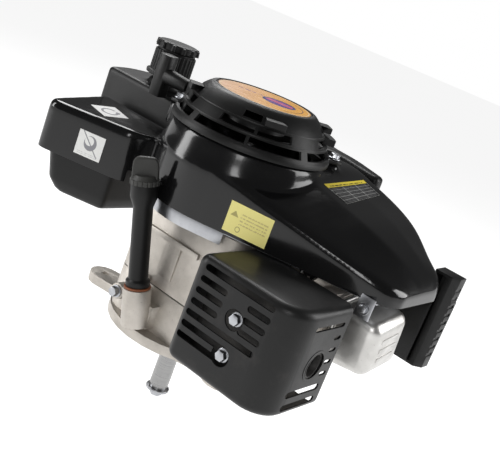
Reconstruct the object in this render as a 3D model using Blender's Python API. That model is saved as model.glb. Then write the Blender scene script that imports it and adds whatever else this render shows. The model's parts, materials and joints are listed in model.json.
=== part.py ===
"""Small vertical-shaft four-stroke petrol engine, overhead valve, recoil start.

Metres, +Z up along the crankshaft. The origin is on the crankshaft's axis at the underside of the
mounting flange. +X points along the cylinder to its head, and the silencer is on the -Y side.
All sizes below are millimetres; the helpers turn them into metres.
"""

import math

import bmesh
import bpy
from mathutils import Matrix, Vector

MM = 0.001
GAP = 0.3  # clearance between two pieces that touch

# ---- driving dimensions, millimetres -------------------------------------------------------
SHAFT_R = 11.1  # 22.2 mm power shaft
SHAFT_STUB = 80.0  # below the flange
FLANGE_R = 86.0
FLANGE_T = 11.0
BOLT_CIRCLE_R = 115.0
MOUNT_HOLE_R = 4.5
MOUNT_EAR_R = 19.0
MOUNT_EAR_ANGLES = (190.0, 70.0, 335.0)

CASE_X = (-66.0, 82.0)
CASE_Y = (-68.0, 101.0)
CASE_CORNER = 24.0
CASE_WALL = 5.0
SUMP_TOP = 58.0
GASKET_T = 0.8
CASE_TOP = 150.0

CYLINDER_Z = 106.0
BORE_R = 32.0
STROKE = 45.0
ROD_LENGTH = 80.0
BARREL_WALL = 7.0
DECK_X = 125.0
FIN_HALF = 45.0
FIN_T = 2.2
FIN_PITCH = 7.0
FIN_COUNT = 6

HEAD_LENGTH = 52.0
VALVE_Z = 14.0  # each valve's distance above or below the cylinder's axis
VALVE_Y = 8.0
PIVOT_Y = 28.0
PUSHROD_Y = 48.0
ROCKER_X = 214.0
VALVE_LIFT = 5.5
LASH = 1.0
COVER_LENGTH = 51.0

CAM_X = 30.0
GEAR_MODULE = 2.0
CRANK_TEETH = 20
CAM_TEETH = 40
GEAR_Z = (48.0, 58.0)
WEB_T = 13.0
WEB_R = 36.0
PIN_R = 12.0
ROD_T = 15.4

BEARING_R = 26.0
BEARING_BORE_R = 12.8
BEARING_T = 15.0

SHROUD_Z = 154.0  # top of the lower shroud
SHROUD_T = 1.5
COVER_R = 92.0
COVER_WALL_TOP = 210.0
COVER_TOP = 236.0
SHEET_T = 2.0
WALL_SLOPE = 19.4  # the cover's front wall tapers to the head by this angle
COVER_END_X = 232.0

FLYWHEEL_R = 80.0
RECOIL_BASE_R = 89.0
RECOIL_TOP_R = 58.0
RECOIL_H = 45.0
RECOIL_EAR_R = 100.0
RECOIL_EAR_ANGLES = (187.0, 52.0)
BADGE_R = 50.0

REEL_R = 42.0
HANDLE_TRAVEL = 600.0
ROPE_Z = 256.0
ROPE_Y = -12.0
ROPE_R = 2.0

TANK_TOP = 233.0
TANK_WALL = 3.0
CAP_X = -166.0
CAP_Y = 34.0
CAP_R = 26.0
CAP_TOP = 288.0

TUBE_FOOT = (-8.0, -88.0, 56.0)
TUBE_HEAD = (-30.0, -105.0, 166.0)
TUBE_R = 10.5

GUARD_X = (86.0, 196.0)
GUARD_Y = (-138.0, -52.0)
GUARD_Z = (40.0, 151.0)
GUARD_CORNER = 12.0
SLOT_PITCH = 12.2

BOLT_HEX_R = 5.6
BOLT_FLANGE_R = 7.0

# ---- colours: base colour, roughness, metallic ---------------------------------------------
FINISHES = {
    "gloss_black": ((0.012, 0.012, 0.014, 1), 0.18, 0.0),
    "satin_black": ((0.03, 0.03, 0.032, 1), 0.45, 0.2),
    "plastic_black": ((0.028, 0.028, 0.03, 1), 0.5, 0.0),
    "cast_aluminium": ((0.55, 0.53, 0.5, 1), 0.5, 0.9),
    "zinc": ((0.72, 0.74, 0.76, 1), 0.25, 1.0),
    "steel": ((0.5, 0.5, 0.52, 1), 0.3, 1.0),
    "cast_iron": ((0.16, 0.16, 0.17, 1), 0.6, 0.8),
    "grey_plastic": ((0.16, 0.18, 0.17, 1), 0.5, 0.0),
    "badge": ((0.85, 0.55, 0.2, 1), 0.35, 0.0),
    "rubber": ((0.02, 0.02, 0.02, 1), 0.8, 0.0),
    "gasket": ((0.2, 0.2, 0.19, 1), 0.8, 0.0),
    "foam": ((0.75, 0.7, 0.5, 1), 0.9, 0.0),
    "ceramic": ((0.9, 0.9, 0.88, 1), 0.2, 0.0),
    "cord": ((0.7, 0.7, 0.68, 1), 0.8, 0.0),
}


# ---- helpers -------------------------------------------------------------------------------
def polar(radius, degrees):
    angle = math.radians(degrees)
    return radius * math.cos(angle), radius * math.sin(angle)


def clear_scene():
    for old in list(bpy.data.objects):
        bpy.data.objects.remove(old, do_unlink=True)


def finish_material(name):
    material = bpy.data.materials.get(name)
    if material:
        return material
    colour, roughness, metallic = FINISHES[name]
    material = bpy.data.materials.new(name)
    material.use_nodes = True
    shader = material.node_tree.nodes["Principled BSDF"]
    shader.inputs["Base Color"].default_value = colour
    shader.inputs["Roughness"].default_value = roughness
    shader.inputs["Metallic"].default_value = metallic
    return material


def is_bent(face):
    centre = face.calc_center_median()
    return any(abs((vert.co - centre).dot(face.normal)) > 0.001 for vert in face.verts)


def new_object(bm, name="piece"):
    """An object from a bmesh in millimetres, its faces turned outwards and its bent faces split."""
    bmesh.ops.recalc_face_normals(bm, faces=bm.faces)
    bent = [face for face in bm.faces if is_bent(face)]
    bmesh.ops.triangulate(bm, faces=bent)
    bmesh.ops.scale(bm, vec=(MM, MM, MM), verts=bm.verts)
    mesh = bpy.data.meshes.new(name)
    bm.to_mesh(mesh)
    bm.free()
    obj = bpy.data.objects.new(name, mesh)
    bpy.context.scene.collection.objects.link(obj)
    return obj


def loft(rings, closed=False):
    """A solid through rings of points, each with the same count; closed joins the last ring to the first."""
    bm = bmesh.new()
    rows = [[bm.verts.new(point) for point in ring] for ring in rings]
    count = len(rows[0])
    pairs = list(zip(rows, rows[1:]))
    if closed:
        pairs.append((rows[-1], rows[0]))
    for low, high in pairs:
        for i in range(count):
            j = (i + 1) % count
            bm.faces.new((low[i], low[j], high[j], high[i]))
    if not closed:
        bm.faces.new(rows[0])
        bm.faces.new(rows[-1])
    return new_object(bm)


def prism(outline, z0, z1):
    return loft([[(x, y, z0) for x, y in outline], [(x, y, z1) for x, y in outline]])


def block(lo, hi, corner=0.0, steps=2):
    """A box, with its edges along Z rounded where a corner radius is given."""
    if corner:
        outline = rounded_rect(lo[0], lo[1], hi[0], hi[1], corner, steps)
    else:
        outline = [(lo[0], lo[1]), (hi[0], lo[1]), (hi[0], hi[1]), (lo[0], hi[1])]
    return prism(outline, lo[2], hi[2])


def rounded_rect(x0, y0, x1, y1, corner, steps=3):
    points = []
    centres = ((x1 - corner, y1 - corner, 0), (x0 + corner, y1 - corner, 90))
    centres += ((x0 + corner, y0 + corner, 180), (x1 - corner, y0 + corner, 270))
    for cx, cy, start in centres:
        for i in range(steps + 1):
            dx, dy = polar(corner, start + 90 * i / steps)
            points.append((cx + dx, cy + dy))
    return points


def frame_between(start, end):
    """Two unit vectors across the line from start to end."""
    along = (Vector(end) - Vector(start)).normalized()
    helper = Vector((0, 0, 1)) if abs(along.z) < 0.9 else Vector((1, 0, 0))
    side = along.cross(helper).normalized()
    return side, along.cross(side).normalized()


def rod(start, end, radius, end_radius=None, sides=18, turn=0.0):
    """A cylinder, cone or prism between two points."""
    side, other = frame_between(start, end)
    rings = []
    for centre, r in ((start, radius), (end, radius if end_radius is None else end_radius)):
        ring = []
        for i in range(sides):
            a, b = polar(r, turn + 360 * i / sides)
            ring.append(Vector(centre) + side * a + other * b)
        rings.append(ring)
    return loft(rings)


def stacked(start, direction, stations, sides=18):
    """A solid of circles along a line, from (distance, radius) pairs."""
    start, along = Vector(start), Vector(direction).normalized()
    side, other = frame_between(start, start + along)
    rings = []
    for distance, radius in stations:
        ring = []
        for i in range(sides):
            a, b = polar(radius, 360 * i / sides)
            ring.append(start + along * distance + side * a + other * b)
        rings.append(ring)
    return loft(rings)


def turned(profile, axis="Z", centre=(0, 0, 0), sides=24):
    """A ring turned from a closed profile of (radius, height) points that stays off the axis."""
    rings = []
    for i in range(sides):
        ca, sa = polar(1.0, 360 * i / sides)
        ring = []
        for radius, height in profile:
            point = (radius * ca, radius * sa, height)
            if axis == "X":
                point = (height, radius * ca, radius * sa)
            if axis == "Y":
                point = (radius * ca, height, radius * sa)
            ring.append(Vector(point) + Vector(centre))
        rings.append(ring)
    return loft(rings, closed=True)


def tube(axis, centre, inner, outer, low, high, sides=24):
    return turned([(inner, low), (outer, low), (outer, high), (inner, high)], axis, centre, sides)


def turn_about(obj, point, axis, degrees):
    """Turns a piece's mesh about an axis through a point."""
    there = Matrix.Translation(Vector(point) * MM)
    obj.data.transform(there @ Matrix.Rotation(math.radians(degrees), 4, axis) @ there.inverted())
    return obj


def weld(mesh):
    """Joins points closer than a micron and the flat faces that lie in one plane."""
    bm = bmesh.new()
    bm.from_mesh(mesh)
    bmesh.ops.remove_doubles(bm, verts=bm.verts, dist=0.001 * MM)
    bmesh.ops.dissolve_degenerate(bm, edges=bm.edges, dist=0.001 * MM)
    bmesh.ops.dissolve_limit(bm, angle_limit=math.radians(0.1), verts=bm.verts, edges=bm.edges)
    bm.to_mesh(mesh)
    bm.free()
    return mesh


def combine(obj, others, operation):
    for other in others:
        modifier = obj.modifiers.new("join", "BOOLEAN")
        modifier.operation = operation
        modifier.object = other
        modifier.solver = "EXACT"
        graph = bpy.context.evaluated_depsgraph_get()
        mesh = bpy.data.meshes.new_from_object(obj.evaluated_get(graph))
        obj.modifiers.clear()
        obj.data = weld(mesh)
        bpy.data.objects.remove(other, do_unlink=True)
    return obj


def fuse(obj, *others):
    return combine(obj, others, "UNION")


def cut(obj, *others):
    return combine(obj, others, "DIFFERENCE")


def bevelled(obj, width, segments=2, angle=40.0):
    modifier = obj.modifiers.new("bevel", "BEVEL")
    modifier.width = width * MM
    modifier.segments = segments
    modifier.angle_limit = math.radians(angle)
    modifier.limit_method = "ANGLE"
    graph = bpy.context.evaluated_depsgraph_get()
    mesh = bpy.data.meshes.new_from_object(obj.evaluated_get(graph))
    obj.modifiers.clear()
    obj.data = mesh
    return obj


def part(name, obj, finish, pivot=(0, 0, 0)):
    """Names a finished piece, gives it its colour and puts its origin on its joint."""
    obj.name = name
    obj.data.name = name
    obj.data.materials.clear()
    obj.data.materials.append(finish_material(finish))
    obj.data.shade_smooth()
    obj.data.set_sharp_from_angle(angle=math.radians(35))
    offset = Vector(pivot) * MM
    obj.data.transform(Matrix.Translation(-offset))
    obj.location = offset
    return obj


def hex_bolt(base, direction, shank, shank_r, head_h=6.0, head_r=BOLT_HEX_R):
    """A flanged hex bolt: base is under the flange, direction points out along the head."""
    out = Vector(direction).normalized()
    base = Vector(base)
    bolt = rod(base, base + out * 1.6, BOLT_FLANGE_R * head_r / BOLT_HEX_R, sides=12)
    fuse(bolt, rod(base + out * 1.0, base + out * (1.6 + head_h), head_r, sides=6))
    return fuse(bolt, rod(base - out * shank, base + out * 0.8, shank_r, sides=8))


def gear(teeth, centre, z0, z1, phase):
    """A spur gear's outline with straight-flanked teeth and room for backlash."""
    pitch_r = teeth * GEAR_MODULE / 2
    root, tip = pitch_r - 1.2 * GEAR_MODULE, pitch_r + 0.8 * GEAR_MODULE
    step = 360 / teeth
    outline = []
    for i in range(teeth):
        middle = phase + i * step
        for radius, share in ((root, -0.30), (tip, -0.12), (tip, 0.12), (root, 0.30)):
            x, y = polar(radius, middle + share * step)
            outline.append((centre[0] + x, centre[1] + y))
    return prism(outline, z0, z1)


# ---- places worked out from the driving dimensions -----------------------------------------
THROW = STROKE / 2
CAM_Y = math.sqrt(((CRANK_TEETH + CAM_TEETH) * GEAR_MODULE / 2) ** 2 - CAM_X**2)
ROD_LOW = CYLINDER_Z - ROD_T / 2
ROD_HIGH = CYLINDER_Z + ROD_T / 2
WEB_LOW = ROD_LOW - GAP - WEB_T
WEB_HIGH = ROD_HIGH + GAP + WEB_T
CASE_BASE = SUMP_TOP + GASKET_T + 2 * GAP
BEARING_LOW = WEB_HIGH + 5.0
BEARING_HIGH = BEARING_LOW + BEARING_T
BOSS_TOP = CASE_TOP + 3.0
GASKET_X = DECK_X + GAP
HEAD_X = GASKET_X + GASKET_T + GAP
HEAD_END = HEAD_X + HEAD_LENGTH
COVER_X = HEAD_END + GAP
PIN_X = THROW + ROD_LENGTH  # wrist pin at top dead centre
CROWN_X = PIN_X + 20.0
SKIRT_X = PIN_X - 18.0
BARREL_R = BORE_R + BARREL_WALL
INTAKE_Z = CYLINDER_Z + VALVE_Z
EXHAUST_Z = CYLINDER_Z - VALVE_Z
SHELL_BOTTOM = SHROUD_Z + GAP
RECOIL_BASE = COVER_TOP + GAP
RECOIL_TOP = RECOIL_BASE + RECOIL_H
SLOPE = math.tan(math.radians(WALL_SLOPE))
TANGENT = polar(COVER_R, 270 + WALL_SLOPE)


EYE_X = -RECOIL_BASE_R - 3.0  # where the rope leaves the starter


def case_outline(inset=0.0):
    return rounded_rect(
        CASE_X[0] + inset, CASE_Y[0] + inset, CASE_X[1] - inset, CASE_Y[1] - inset, CASE_CORNER - inset, 3
    )


def wall_y(x):
    """The cover's front wall, which tapers from the round housing to the head."""
    return TANGENT[1] + (x - TANGENT[0]) * SLOPE


# ---- crankcase and sump --------------------------------------------------------------------
def oil_sump():
    sump = rod((0, 0, 0), (0, 0, FLANGE_T), FLANGE_R, sides=28)
    for angle in MOUNT_EAR_ANGLES:
        x, y = polar(BOLT_CIRCLE_R, angle)
        ear = rod((x, y, 0), (x, y, FLANGE_T), MOUNT_EAR_R, sides=14)
        arm = block((FLANGE_R - 20, -MOUNT_EAR_R, 0), (BOLT_CIRCLE_R, MOUNT_EAR_R, FLANGE_T))
        fuse(ear, turn_about(arm, (0, 0, 0), "Z", angle))
        fuse(sump, ear)
    body = prism(case_outline(), 1.0, SUMP_TOP)
    cut(body, prism(case_outline(CASE_WALL), FLANGE_T, SUMP_TOP + 1))
    fuse(sump, body)
    boss_r = SHAFT_R + 13
    fuse(sump, rod((0, 0, -6), (0, 0, 34), boss_r, sides=20))
    fuse(sump, rod((CAM_X, CAM_Y, 4), (CAM_X, CAM_Y, GEAR_Z[0] - 2), 10, sides=14))
    foot = Vector(TUBE_FOOT)
    along = (Vector(TUBE_HEAD) - foot).normalized()
    boss = rod(foot - along * 42, foot, TUBE_R + 5, sides=18)
    web = block((foot.x - 12, CASE_Y[0] - 12, 16), (foot.x + 22, CASE_Y[0] + 4, foot.z - 14))
    fuse(sump, boss, web)
    pad = rod((-36, CASE_Y[0] + 3, 36), (-36, CASE_Y[0] - 16, 36), 9, sides=14)
    fuse(sump, pad)
    for angle in MOUNT_EAR_ANGLES:
        x, y = polar(BOLT_CIRCLE_R, angle)
        cut(sump, rod((x, y, -1), (x, y, FLANGE_T + 1), MOUNT_HOLE_R, sides=12))
    cut(sump, rod((0, 0, -8), (0, 0, 36), SHAFT_R + GAP, sides=20))
    cut(sump, rod((0, 0, -8), (0, 0, 3), SHAFT_R + 7 + GAP, sides=20))
    cut(sump, rod((CAM_X, CAM_Y, 32), (CAM_X, CAM_Y, GEAR_Z[0]), 6 + GAP, sides=14))
    cut(sump, rod(foot - along * 34, foot + along * 5, TUBE_R - 2, sides=14))
    return part("oil_sump", sump, "cast_aluminium")


def sump_gasket():
    low, high = SUMP_TOP + GAP, SUMP_TOP + GAP + GASKET_T
    ring = prism(case_outline(0.5), low, high)
    return part("sump_gasket", cut(ring, prism(case_outline(CASE_WALL), low - 1, high + 1)), "gasket")


def fin_outline(half, corner):
    return rounded_rect(-half, -half, half, half, corner, 2)


def along_x(outline, x0, x1, y=0.0, z=CYLINDER_Z):
    return loft([[(x, y + a, z + b) for a, b in outline] for x in (x0, x1)])


def fins(start, count, half, target):
    for i in range(count):
        x = start + i * FIN_PITCH
        fuse(target, along_x(fin_outline(half, 13), x, x + FIN_T))


def crankcase():
    case = prism(case_outline(), CASE_BASE, CASE_TOP)
    cut(case, prism(case_outline(CASE_WALL), CASE_BASE - 1, CASE_TOP - 6))
    fuse(case, rod((0, 0, WEB_HIGH + 2), (0, 0, BOSS_TOP), BEARING_R + 5, sides=18))
    fuse(case, rod((CAM_X, CAM_Y, CASE_TOP - 16), (CAM_X, CAM_Y, CASE_TOP - 2), 10, sides=14))
    panel = block((-6, CASE_Y[0] - 2.5, 74), (16, CASE_Y[0] + 2, 118))
    fuse(case, panel)
    fuse(case, block((-44, CASE_Y[0] - 3, CASE_BASE), (-12, CASE_Y[0] + 2, CASE_BASE + 7)))
    fuse(case, block((-44, CASE_Y[0] - 4, 112), (40, CASE_Y[0] + 2, 118)))
    barrel = rod((46, 0, CYLINDER_Z), (DECK_X, 0, CYLINDER_Z), BARREL_R, sides=24)
    fins(DECK_X - FIN_T - (FIN_COUNT - 1) * FIN_PITCH, FIN_COUNT, FIN_HALF, barrel)
    tunnel = block((CASE_X[1] - 8, PUSHROD_Y - 7, EXHAUST_Z - 7), (DECK_X, PUSHROD_Y + 7, INTAKE_Z + 7))
    fuse(barrel, tunnel)
    fuse(case, barrel)
    cut(case, rod((30, 0, CYLINDER_Z), (DECK_X + 1, 0, CYLINDER_Z), BORE_R, sides=24))
    for z in (EXHAUST_Z, INTAKE_Z):
        cut(case, rod((CASE_X[1] - 12, PUSHROD_Y, z), (DECK_X + 1, PUSHROD_Y, z), 4.5, sides=8))
    cut(case, rod((0, 0, WEB_HIGH), (0, 0, BEARING_HIGH + GAP), BEARING_R, sides=28))
    cut(case, rod((0, 0, WEB_HIGH), (0, 0, BOSS_TOP + 1), BEARING_BORE_R + 3, sides=14))
    cut(case, rod((CAM_X, CAM_Y, CASE_TOP - 17), (CAM_X, CAM_Y, CASE_TOP - 5), 6 + GAP, sides=14))
    return part("crankcase", case, "cast_aluminium")


def head_gasket():
    plate = along_x(fin_outline(FIN_HALF, 13), GASKET_X, GASKET_X + GASKET_T)
    outer = block(
        (GASKET_X, PUSHROD_Y - 8, EXHAUST_Z - 7), (GASKET_X + GASKET_T, PUSHROD_Y + 7, INTAKE_Z + 7)
    )
    fuse(plate, outer)
    cut(plate, rod((GASKET_X - 1, 0, CYLINDER_Z), (GASKET_X + 2, 0, CYLINDER_Z), BORE_R + 0.5, sides=24))
    for z in (EXHAUST_Z, INTAKE_Z):
        cut(plate, rod((GASKET_X - 1, PUSHROD_Y, z), (GASKET_X + 2, PUSHROD_Y, z), 4.5, sides=8))
    return part("head_gasket", plate, "gasket")


def cover_section(grow=0.0):
    """The rocker cover's outline across the cylinder."""
    return rounded_rect(-38 - grow, -36 - grow, 38 + grow, 36 + grow, 15 + grow, 3)


COVER_Y = 23.0
COVER_TILT = 9.0


def cylinder_head():
    head = along_x(fin_outline(FIN_HALF, 13), HEAD_X, HEAD_X + 8)
    core = block((HEAD_X, -36, CYLINDER_Z - 34), (HEAD_END - 4, PUSHROD_Y + 7, CYLINDER_Z + 34))
    fuse(head, core)
    fins(HEAD_X + 14, 3, FIN_HALF, head)
    deck = along_x(cover_section(1.0), HEAD_END - 8, HEAD_END, COVER_Y)
    fuse(head, turn_about(deck, (HEAD_END, COVER_Y, CYLINDER_Z), "X", COVER_TILT))
    port_x = HEAD_X + 22
    fuse(head, block((port_x - 17, -48, EXHAUST_Z - 15), (port_x + 17, -30, EXHAUST_Z + 17)))
    fuse(head, block((port_x - 15, 50, CYLINDER_Z - 14), (port_x + 15, 64, CYLINDER_Z + 14)))
    cut(head, rod((HEAD_X - 1, 0, CYLINDER_Z), (HEAD_X + 8, 0, CYLINDER_Z), BORE_R - 2, sides=24))
    for z in (EXHAUST_Z, INTAKE_Z):
        cut(head, rod((HEAD_X, VALVE_Y, z), (port_x + 4, VALVE_Y, z), 10.5, sides=14))
        cut(head, rod((port_x, VALVE_Y, z), (HEAD_END + 1, VALVE_Y, z), 3.3, sides=8))
        cut(head, rod((HEAD_X - 1, PUSHROD_Y, z), (HEAD_END + 1, PUSHROD_Y, z), 4.5, sides=8))
    cut(head, rod((port_x, VALVE_Y, EXHAUST_Z), (port_x, -50, EXHAUST_Z), 9.5, sides=14))
    cut(head, rod((port_x, VALVE_Y, CYLINDER_Z), (port_x, 66, CYLINDER_Z), 8.5, sides=14))
    plug = Vector((HEAD_X + 4, -14, CYLINDER_Z + 20))
    cut(head, rod(plug, plug + PLUG_AXIS * 60, 6.3, sides=12))
    cut(head, rod(plug + PLUG_AXIS * 16, plug + PLUG_AXIS * 60, 12.0, sides=12))
    for z in (EXHAUST_Z, INTAKE_Z):
        fuse(head, rod((HEAD_END - 6, PIVOT_Y, z), (ROCKER_X + 8, PIVOT_Y, z), 2.5, sides=8))
    return part("cylinder_head", head, "cast_aluminium")


PLUG_AXIS = Vector((0.45, -0.35, 0.82)).normalized()


def valve_cover():
    end = COVER_X + COVER_LENGTH
    centre = (COVER_X, COVER_Y, CYLINDER_Z)
    rings = ((COVER_X, 0.0), (COVER_X + 5, 0.0), (COVER_X + 5.5, -2.0), (end - 6, -4.0), (end, -9.0))
    shell = loft([[(x, COVER_Y + a, CYLINDER_Z + b) for a, b in cover_section(g)] for x, g in rings])
    hollow = ((COVER_X - 1, -5.0), (end - 3, -7.5))
    cut(shell, loft([[(x, COVER_Y + a, CYLINDER_Z + b) for a, b in cover_section(g)] for x, g in hollow]))
    return part("valve_cover", turn_about(shell, centre, "X", COVER_TILT), "cast_aluminium")


# ---- crankshaft, piston and camshaft --------------------------------------------------------
def web(z0, z1):
    """A crank web: a round counterweight behind and a narrow cheek at the pin."""
    outline = [polar(WEB_R, 90 + 180 * i / 12) for i in range(13)]
    cheek = PIN_R + 2
    for i in range(9):
        x, y = polar(cheek, -90 + 180 * i / 8)
        outline.append((THROW + x, y))
    return prism(outline, z0, z1)


def crankshaft_lower():
    shaft = rod((0, 0, -SHAFT_STUB), (0, 0, 38), SHAFT_R, sides=20)
    fuse(shaft, rod((0, 0, 37), (0, 0, WEB_LOW + 2), 12.5, sides=20))
    fuse(shaft, web(WEB_LOW, ROD_LOW - GAP))
    key = block((SHAFT_R - 2.6, -2.4, -SHAFT_STUB + 14), (SHAFT_R + 2, 2.4, -SHAFT_STUB + 58))
    cut(shaft, turn_about(key, (0, 0, 0), "Z", 40), rod((0, 0, -SHAFT_STUB - 1), (0, 0, -50), 4.3, sides=12))
    return part("crankshaft_lower", shaft, "steel")


def crankshaft_upper():
    shaft = web(ROD_HIGH + GAP, WEB_HIGH)
    fuse(shaft, rod((0, 0, WEB_HIGH - 2), (0, 0, BEARING_HIGH + 4), BEARING_BORE_R - GAP, sides=20))
    fuse(shaft, rod((0, 0, BEARING_HIGH + 3), (0, 0, 196), 11.0, 9.5, sides=20))
    fuse(shaft, rod((0, 0, 195), (0, 0, 222), 6.5, sides=14))
    return part("crankshaft_upper", shaft, "steel")


def crank_gear():
    ring = gear(CRANK_TEETH, (0, 0), GEAR_Z[0], GEAR_Z[1], MESH_ANGLE)
    return part("crank_gear", cut(ring, rod((0, 0, 40), (0, 0, 66), 12.5 + GAP, sides=20)), "steel")


MESH_ANGLE = math.degrees(math.atan2(CAM_Y, CAM_X))


def camshaft():
    centre = (CAM_X, CAM_Y)
    phase = MESH_ANGLE + 180 + 180 / CAM_TEETH
    shaft = gear(CAM_TEETH, centre, GEAR_Z[0] + 0.5, GEAR_Z[1] - 0.5, phase)
    fuse(shaft, rod((*centre, 33), (*centre, CASE_TOP - 6), 6, sides=12))
    for z, turn in ((EXHAUST_Z, 150), (INTAKE_Z, 255)):
        lobe = rod((*centre, z - 4), (*centre, z + 4), 10, sides=12)
        nx, ny = polar(8.5, turn)
        fuse(lobe, rod((CAM_X + nx, CAM_Y + ny, z - 4), (CAM_X + nx, CAM_Y + ny, z + 4), 7, sides=10))
        fuse(shaft, lobe)
    return part("camshaft", shaft, "cast_iron", (CAM_X, CAM_Y, GEAR_Z[0]))


def upper_bearing():
    low, high = BEARING_LOW, BEARING_HIGH
    profile = [(BEARING_BORE_R, low), (BEARING_R - GAP, low), (BEARING_R - GAP, high), (21.5, high)]
    profile += [(21.5, high - 1.5), (17, high - 1.5), (17, high), (BEARING_BORE_R, high)]
    return part("upper_bearing", turned(profile, sides=20), "steel")


def lower_oil_seal():
    return part(
        "lower_oil_seal", tube("Z", (0, 0, 0), SHAFT_R + GAP, SHAFT_R + 7, -5.5, 2.7, 20), "rubber"
    )


def piston():
    r = BORE_R - 0.5
    body = rod((SKIRT_X, 0, CYLINDER_Z), (CROWN_X, 0, CYLINDER_Z), r, sides=24)
    cut(body, rod((SKIRT_X - 1, 0, CYLINDER_Z), (CROWN_X - 6, 0, CYLINDER_Z), r - 4, sides=18))
    ring_x = CROWN_X - 8
    groove = tube("X", (0, 0, CYLINDER_Z), r - 2.4, r + 2, ring_x, ring_x + 2.6, 24)
    cut(body, groove, rod((PIN_X, 0, CYLINDER_Z - 40), (PIN_X, 0, CYLINDER_Z + 40), 8 + GAP, sides=18))
    return part("piston", body, "cast_aluminium", (PIN_X, 0, CYLINDER_Z))


def piston_ring():
    ring_x = CROWN_X - 8 + GAP
    ring = tube("X", (0, 0, CYLINDER_Z), BORE_R - 2.6, BORE_R - 0.3, ring_x, ring_x + 2.0, 24)
    return part("piston_ring", ring, "steel", (PIN_X, 0, CYLINDER_Z))


def wrist_pin():
    half = BORE_R - 4
    low, high = CYLINDER_Z - half, CYLINDER_Z + half
    return part("wrist_pin", tube("Z", (PIN_X, 0, 0), 5, 8, low, high, 18), "steel", (PIN_X, 0, CYLINDER_Z))


def connecting_rod():
    beam = block((THROW + 10, -7, CYLINDER_Z - 5), (PIN_X - 8, 7, CYLINDER_Z + 5))
    fuse(beam, rod((THROW, 0, ROD_LOW), (THROW, 0, ROD_HIGH), PIN_R + 6, sides=20))
    fuse(beam, rod((PIN_X, 0, ROD_LOW), (PIN_X, 0, ROD_HIGH), 12.5, sides=20))
    for y in (-PIN_R - 7, PIN_R + 7):
        fuse(beam, block((THROW - 9, y - 3.5, CYLINDER_Z - 5), (THROW + 9, y + 3.5, CYLINDER_Z + 5)))
    cut(beam, rod((THROW, 0, 80), (THROW, 0, 130), PIN_R + GAP, sides=20))
    cut(beam, rod((PIN_X, 0, 80), (PIN_X, 0, 130), 8 + GAP, sides=18))
    return part("connecting_rod", beam, "cast_aluminium", (PIN_X, 0, CYLINDER_Z))


def crankpin():
    pin = rod((THROW, 0, ROD_LOW), (THROW, 0, ROD_HIGH), PIN_R, sides=20)
    return part("crankpin", pin, "steel", (THROW, 0, CYLINDER_Z))


def shaft_washer():
    z = -SHAFT_STUB - GAP
    return part("shaft_washer", tube("Z", (0, 0, 0), 4.6, 14, z - 2.5, z, 18), "zinc")


def shaft_bolt():
    bolt = hex_bolt((0, 0, -SHAFT_STUB - 2 * GAP - 2.5), (0, 0, -1), 24, 4.0, 5.5, 7.0)
    return part("shaft_bolt", bolt, "zinc")


# ---- valve train ---------------------------------------------------------------------------
def valve(name, z, head_r):
    tip = ROCKER_X - 3.7 - LASH
    seat = HEAD_X + 8 - GAP
    stem = rod((seat - 1, VALVE_Y, z), (tip, VALVE_Y, z), 2.9, sides=8)
    fuse(stem, rod((seat - 2.6, VALVE_Y, z), (seat, VALVE_Y, z), head_r, sides=14))
    fuse(stem, rod((tip - 7, VALVE_Y, z), (tip - 4, VALVE_Y, z), 9, sides=12))
    return part(name, stem, "steel", (seat, VALVE_Y, z))


def valve_spring(name, z):
    low = COVER_X + 0.5
    high = ROCKER_X - 3.7 - LASH - 7 - VALVE_LIFT - 1
    return part(name, tube("X", (0, VALVE_Y, z), 5.5, 8.5, low, high, 14), "steel")


def rocker(name, z):
    bar = block((ROCKER_X - 3.7, VALVE_Y - 4, z - 5), (ROCKER_X + 2.5, PUSHROD_Y + 3, z + 5))
    fuse(bar, rod((ROCKER_X - 3.7, PIVOT_Y, z), (ROCKER_X + 5, PIVOT_Y, z), 9, sides=14))
    cut(bar, rod((ROCKER_X - 9, PIVOT_Y, z), (ROCKER_X + 12, PIVOT_Y, z), 4.8, sides=12))
    return part(name, bar, "steel", (ROCKER_X, PIVOT_Y, z))


def pushrod(name, z):
    start = CAM_X + 18
    end = ROCKER_X - 3.7 - LASH
    stem = rod((start + 2, PUSHROD_Y, z), (end, PUSHROD_Y, z), 3.0, sides=8)
    fuse(stem, rod((start, PUSHROD_Y, z), (start + 5, PUSHROD_Y, z), 9.5, sides=14))
    return part(name, stem, "steel", (start, PUSHROD_Y, z))


# ---- flywheel, fan and recoil starter --------------------------------------------------------
def flywheel():
    profile = [(12, 160), (28, 160), (28, 172), (FLYWHEEL_R - 10, 172), (FLYWHEEL_R - 10, 160)]
    profile += [(FLYWHEEL_R, 160), (FLYWHEEL_R, 186), (26, 186), (26, 190), (12, 190)]
    wheel = turned(profile, sides=24)
    return part("flywheel", wheel, "cast_aluminium")


def cooling_fan():
    low = 186 + GAP
    fan = tube("Z", (0, 0, 0), 34, FLYWHEEL_R - 2, low, low + 3, 48)
    blade_count = 12
    for i in range(blade_count):
        blade = block((46, -1.2, low + 1), (FLYWHEEL_R - 3, 1.2, low + 20))
        turn_about(blade, (62, 0, 0), "Z", 28)
        fuse(fan, turn_about(blade, (0, 0, 0), "Z", 360 * i / blade_count))
    return part("cooling_fan", fan, "plastic_black")


def starter_cup():
    profile = [(7, 196.5), (33, 196.5), (33, 222), (31, 222), (31, 198.5), (7, 198.5)]
    return part("starter_cup", turned(profile, sides=18), "zinc")


def flywheel_nut():
    nut = rod((0, 0, 199), (0, 0, 211), 13, sides=6)
    return part("flywheel_nut", cut(nut, rod((0, 0, 198), (0, 0, 212), 6.5 + GAP, sides=14)), "zinc")


def circles(stations, sides=28):
    return [[(*polar(r, 360 * i / sides), z) for i in range(sides)] for r, z in stations]


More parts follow.
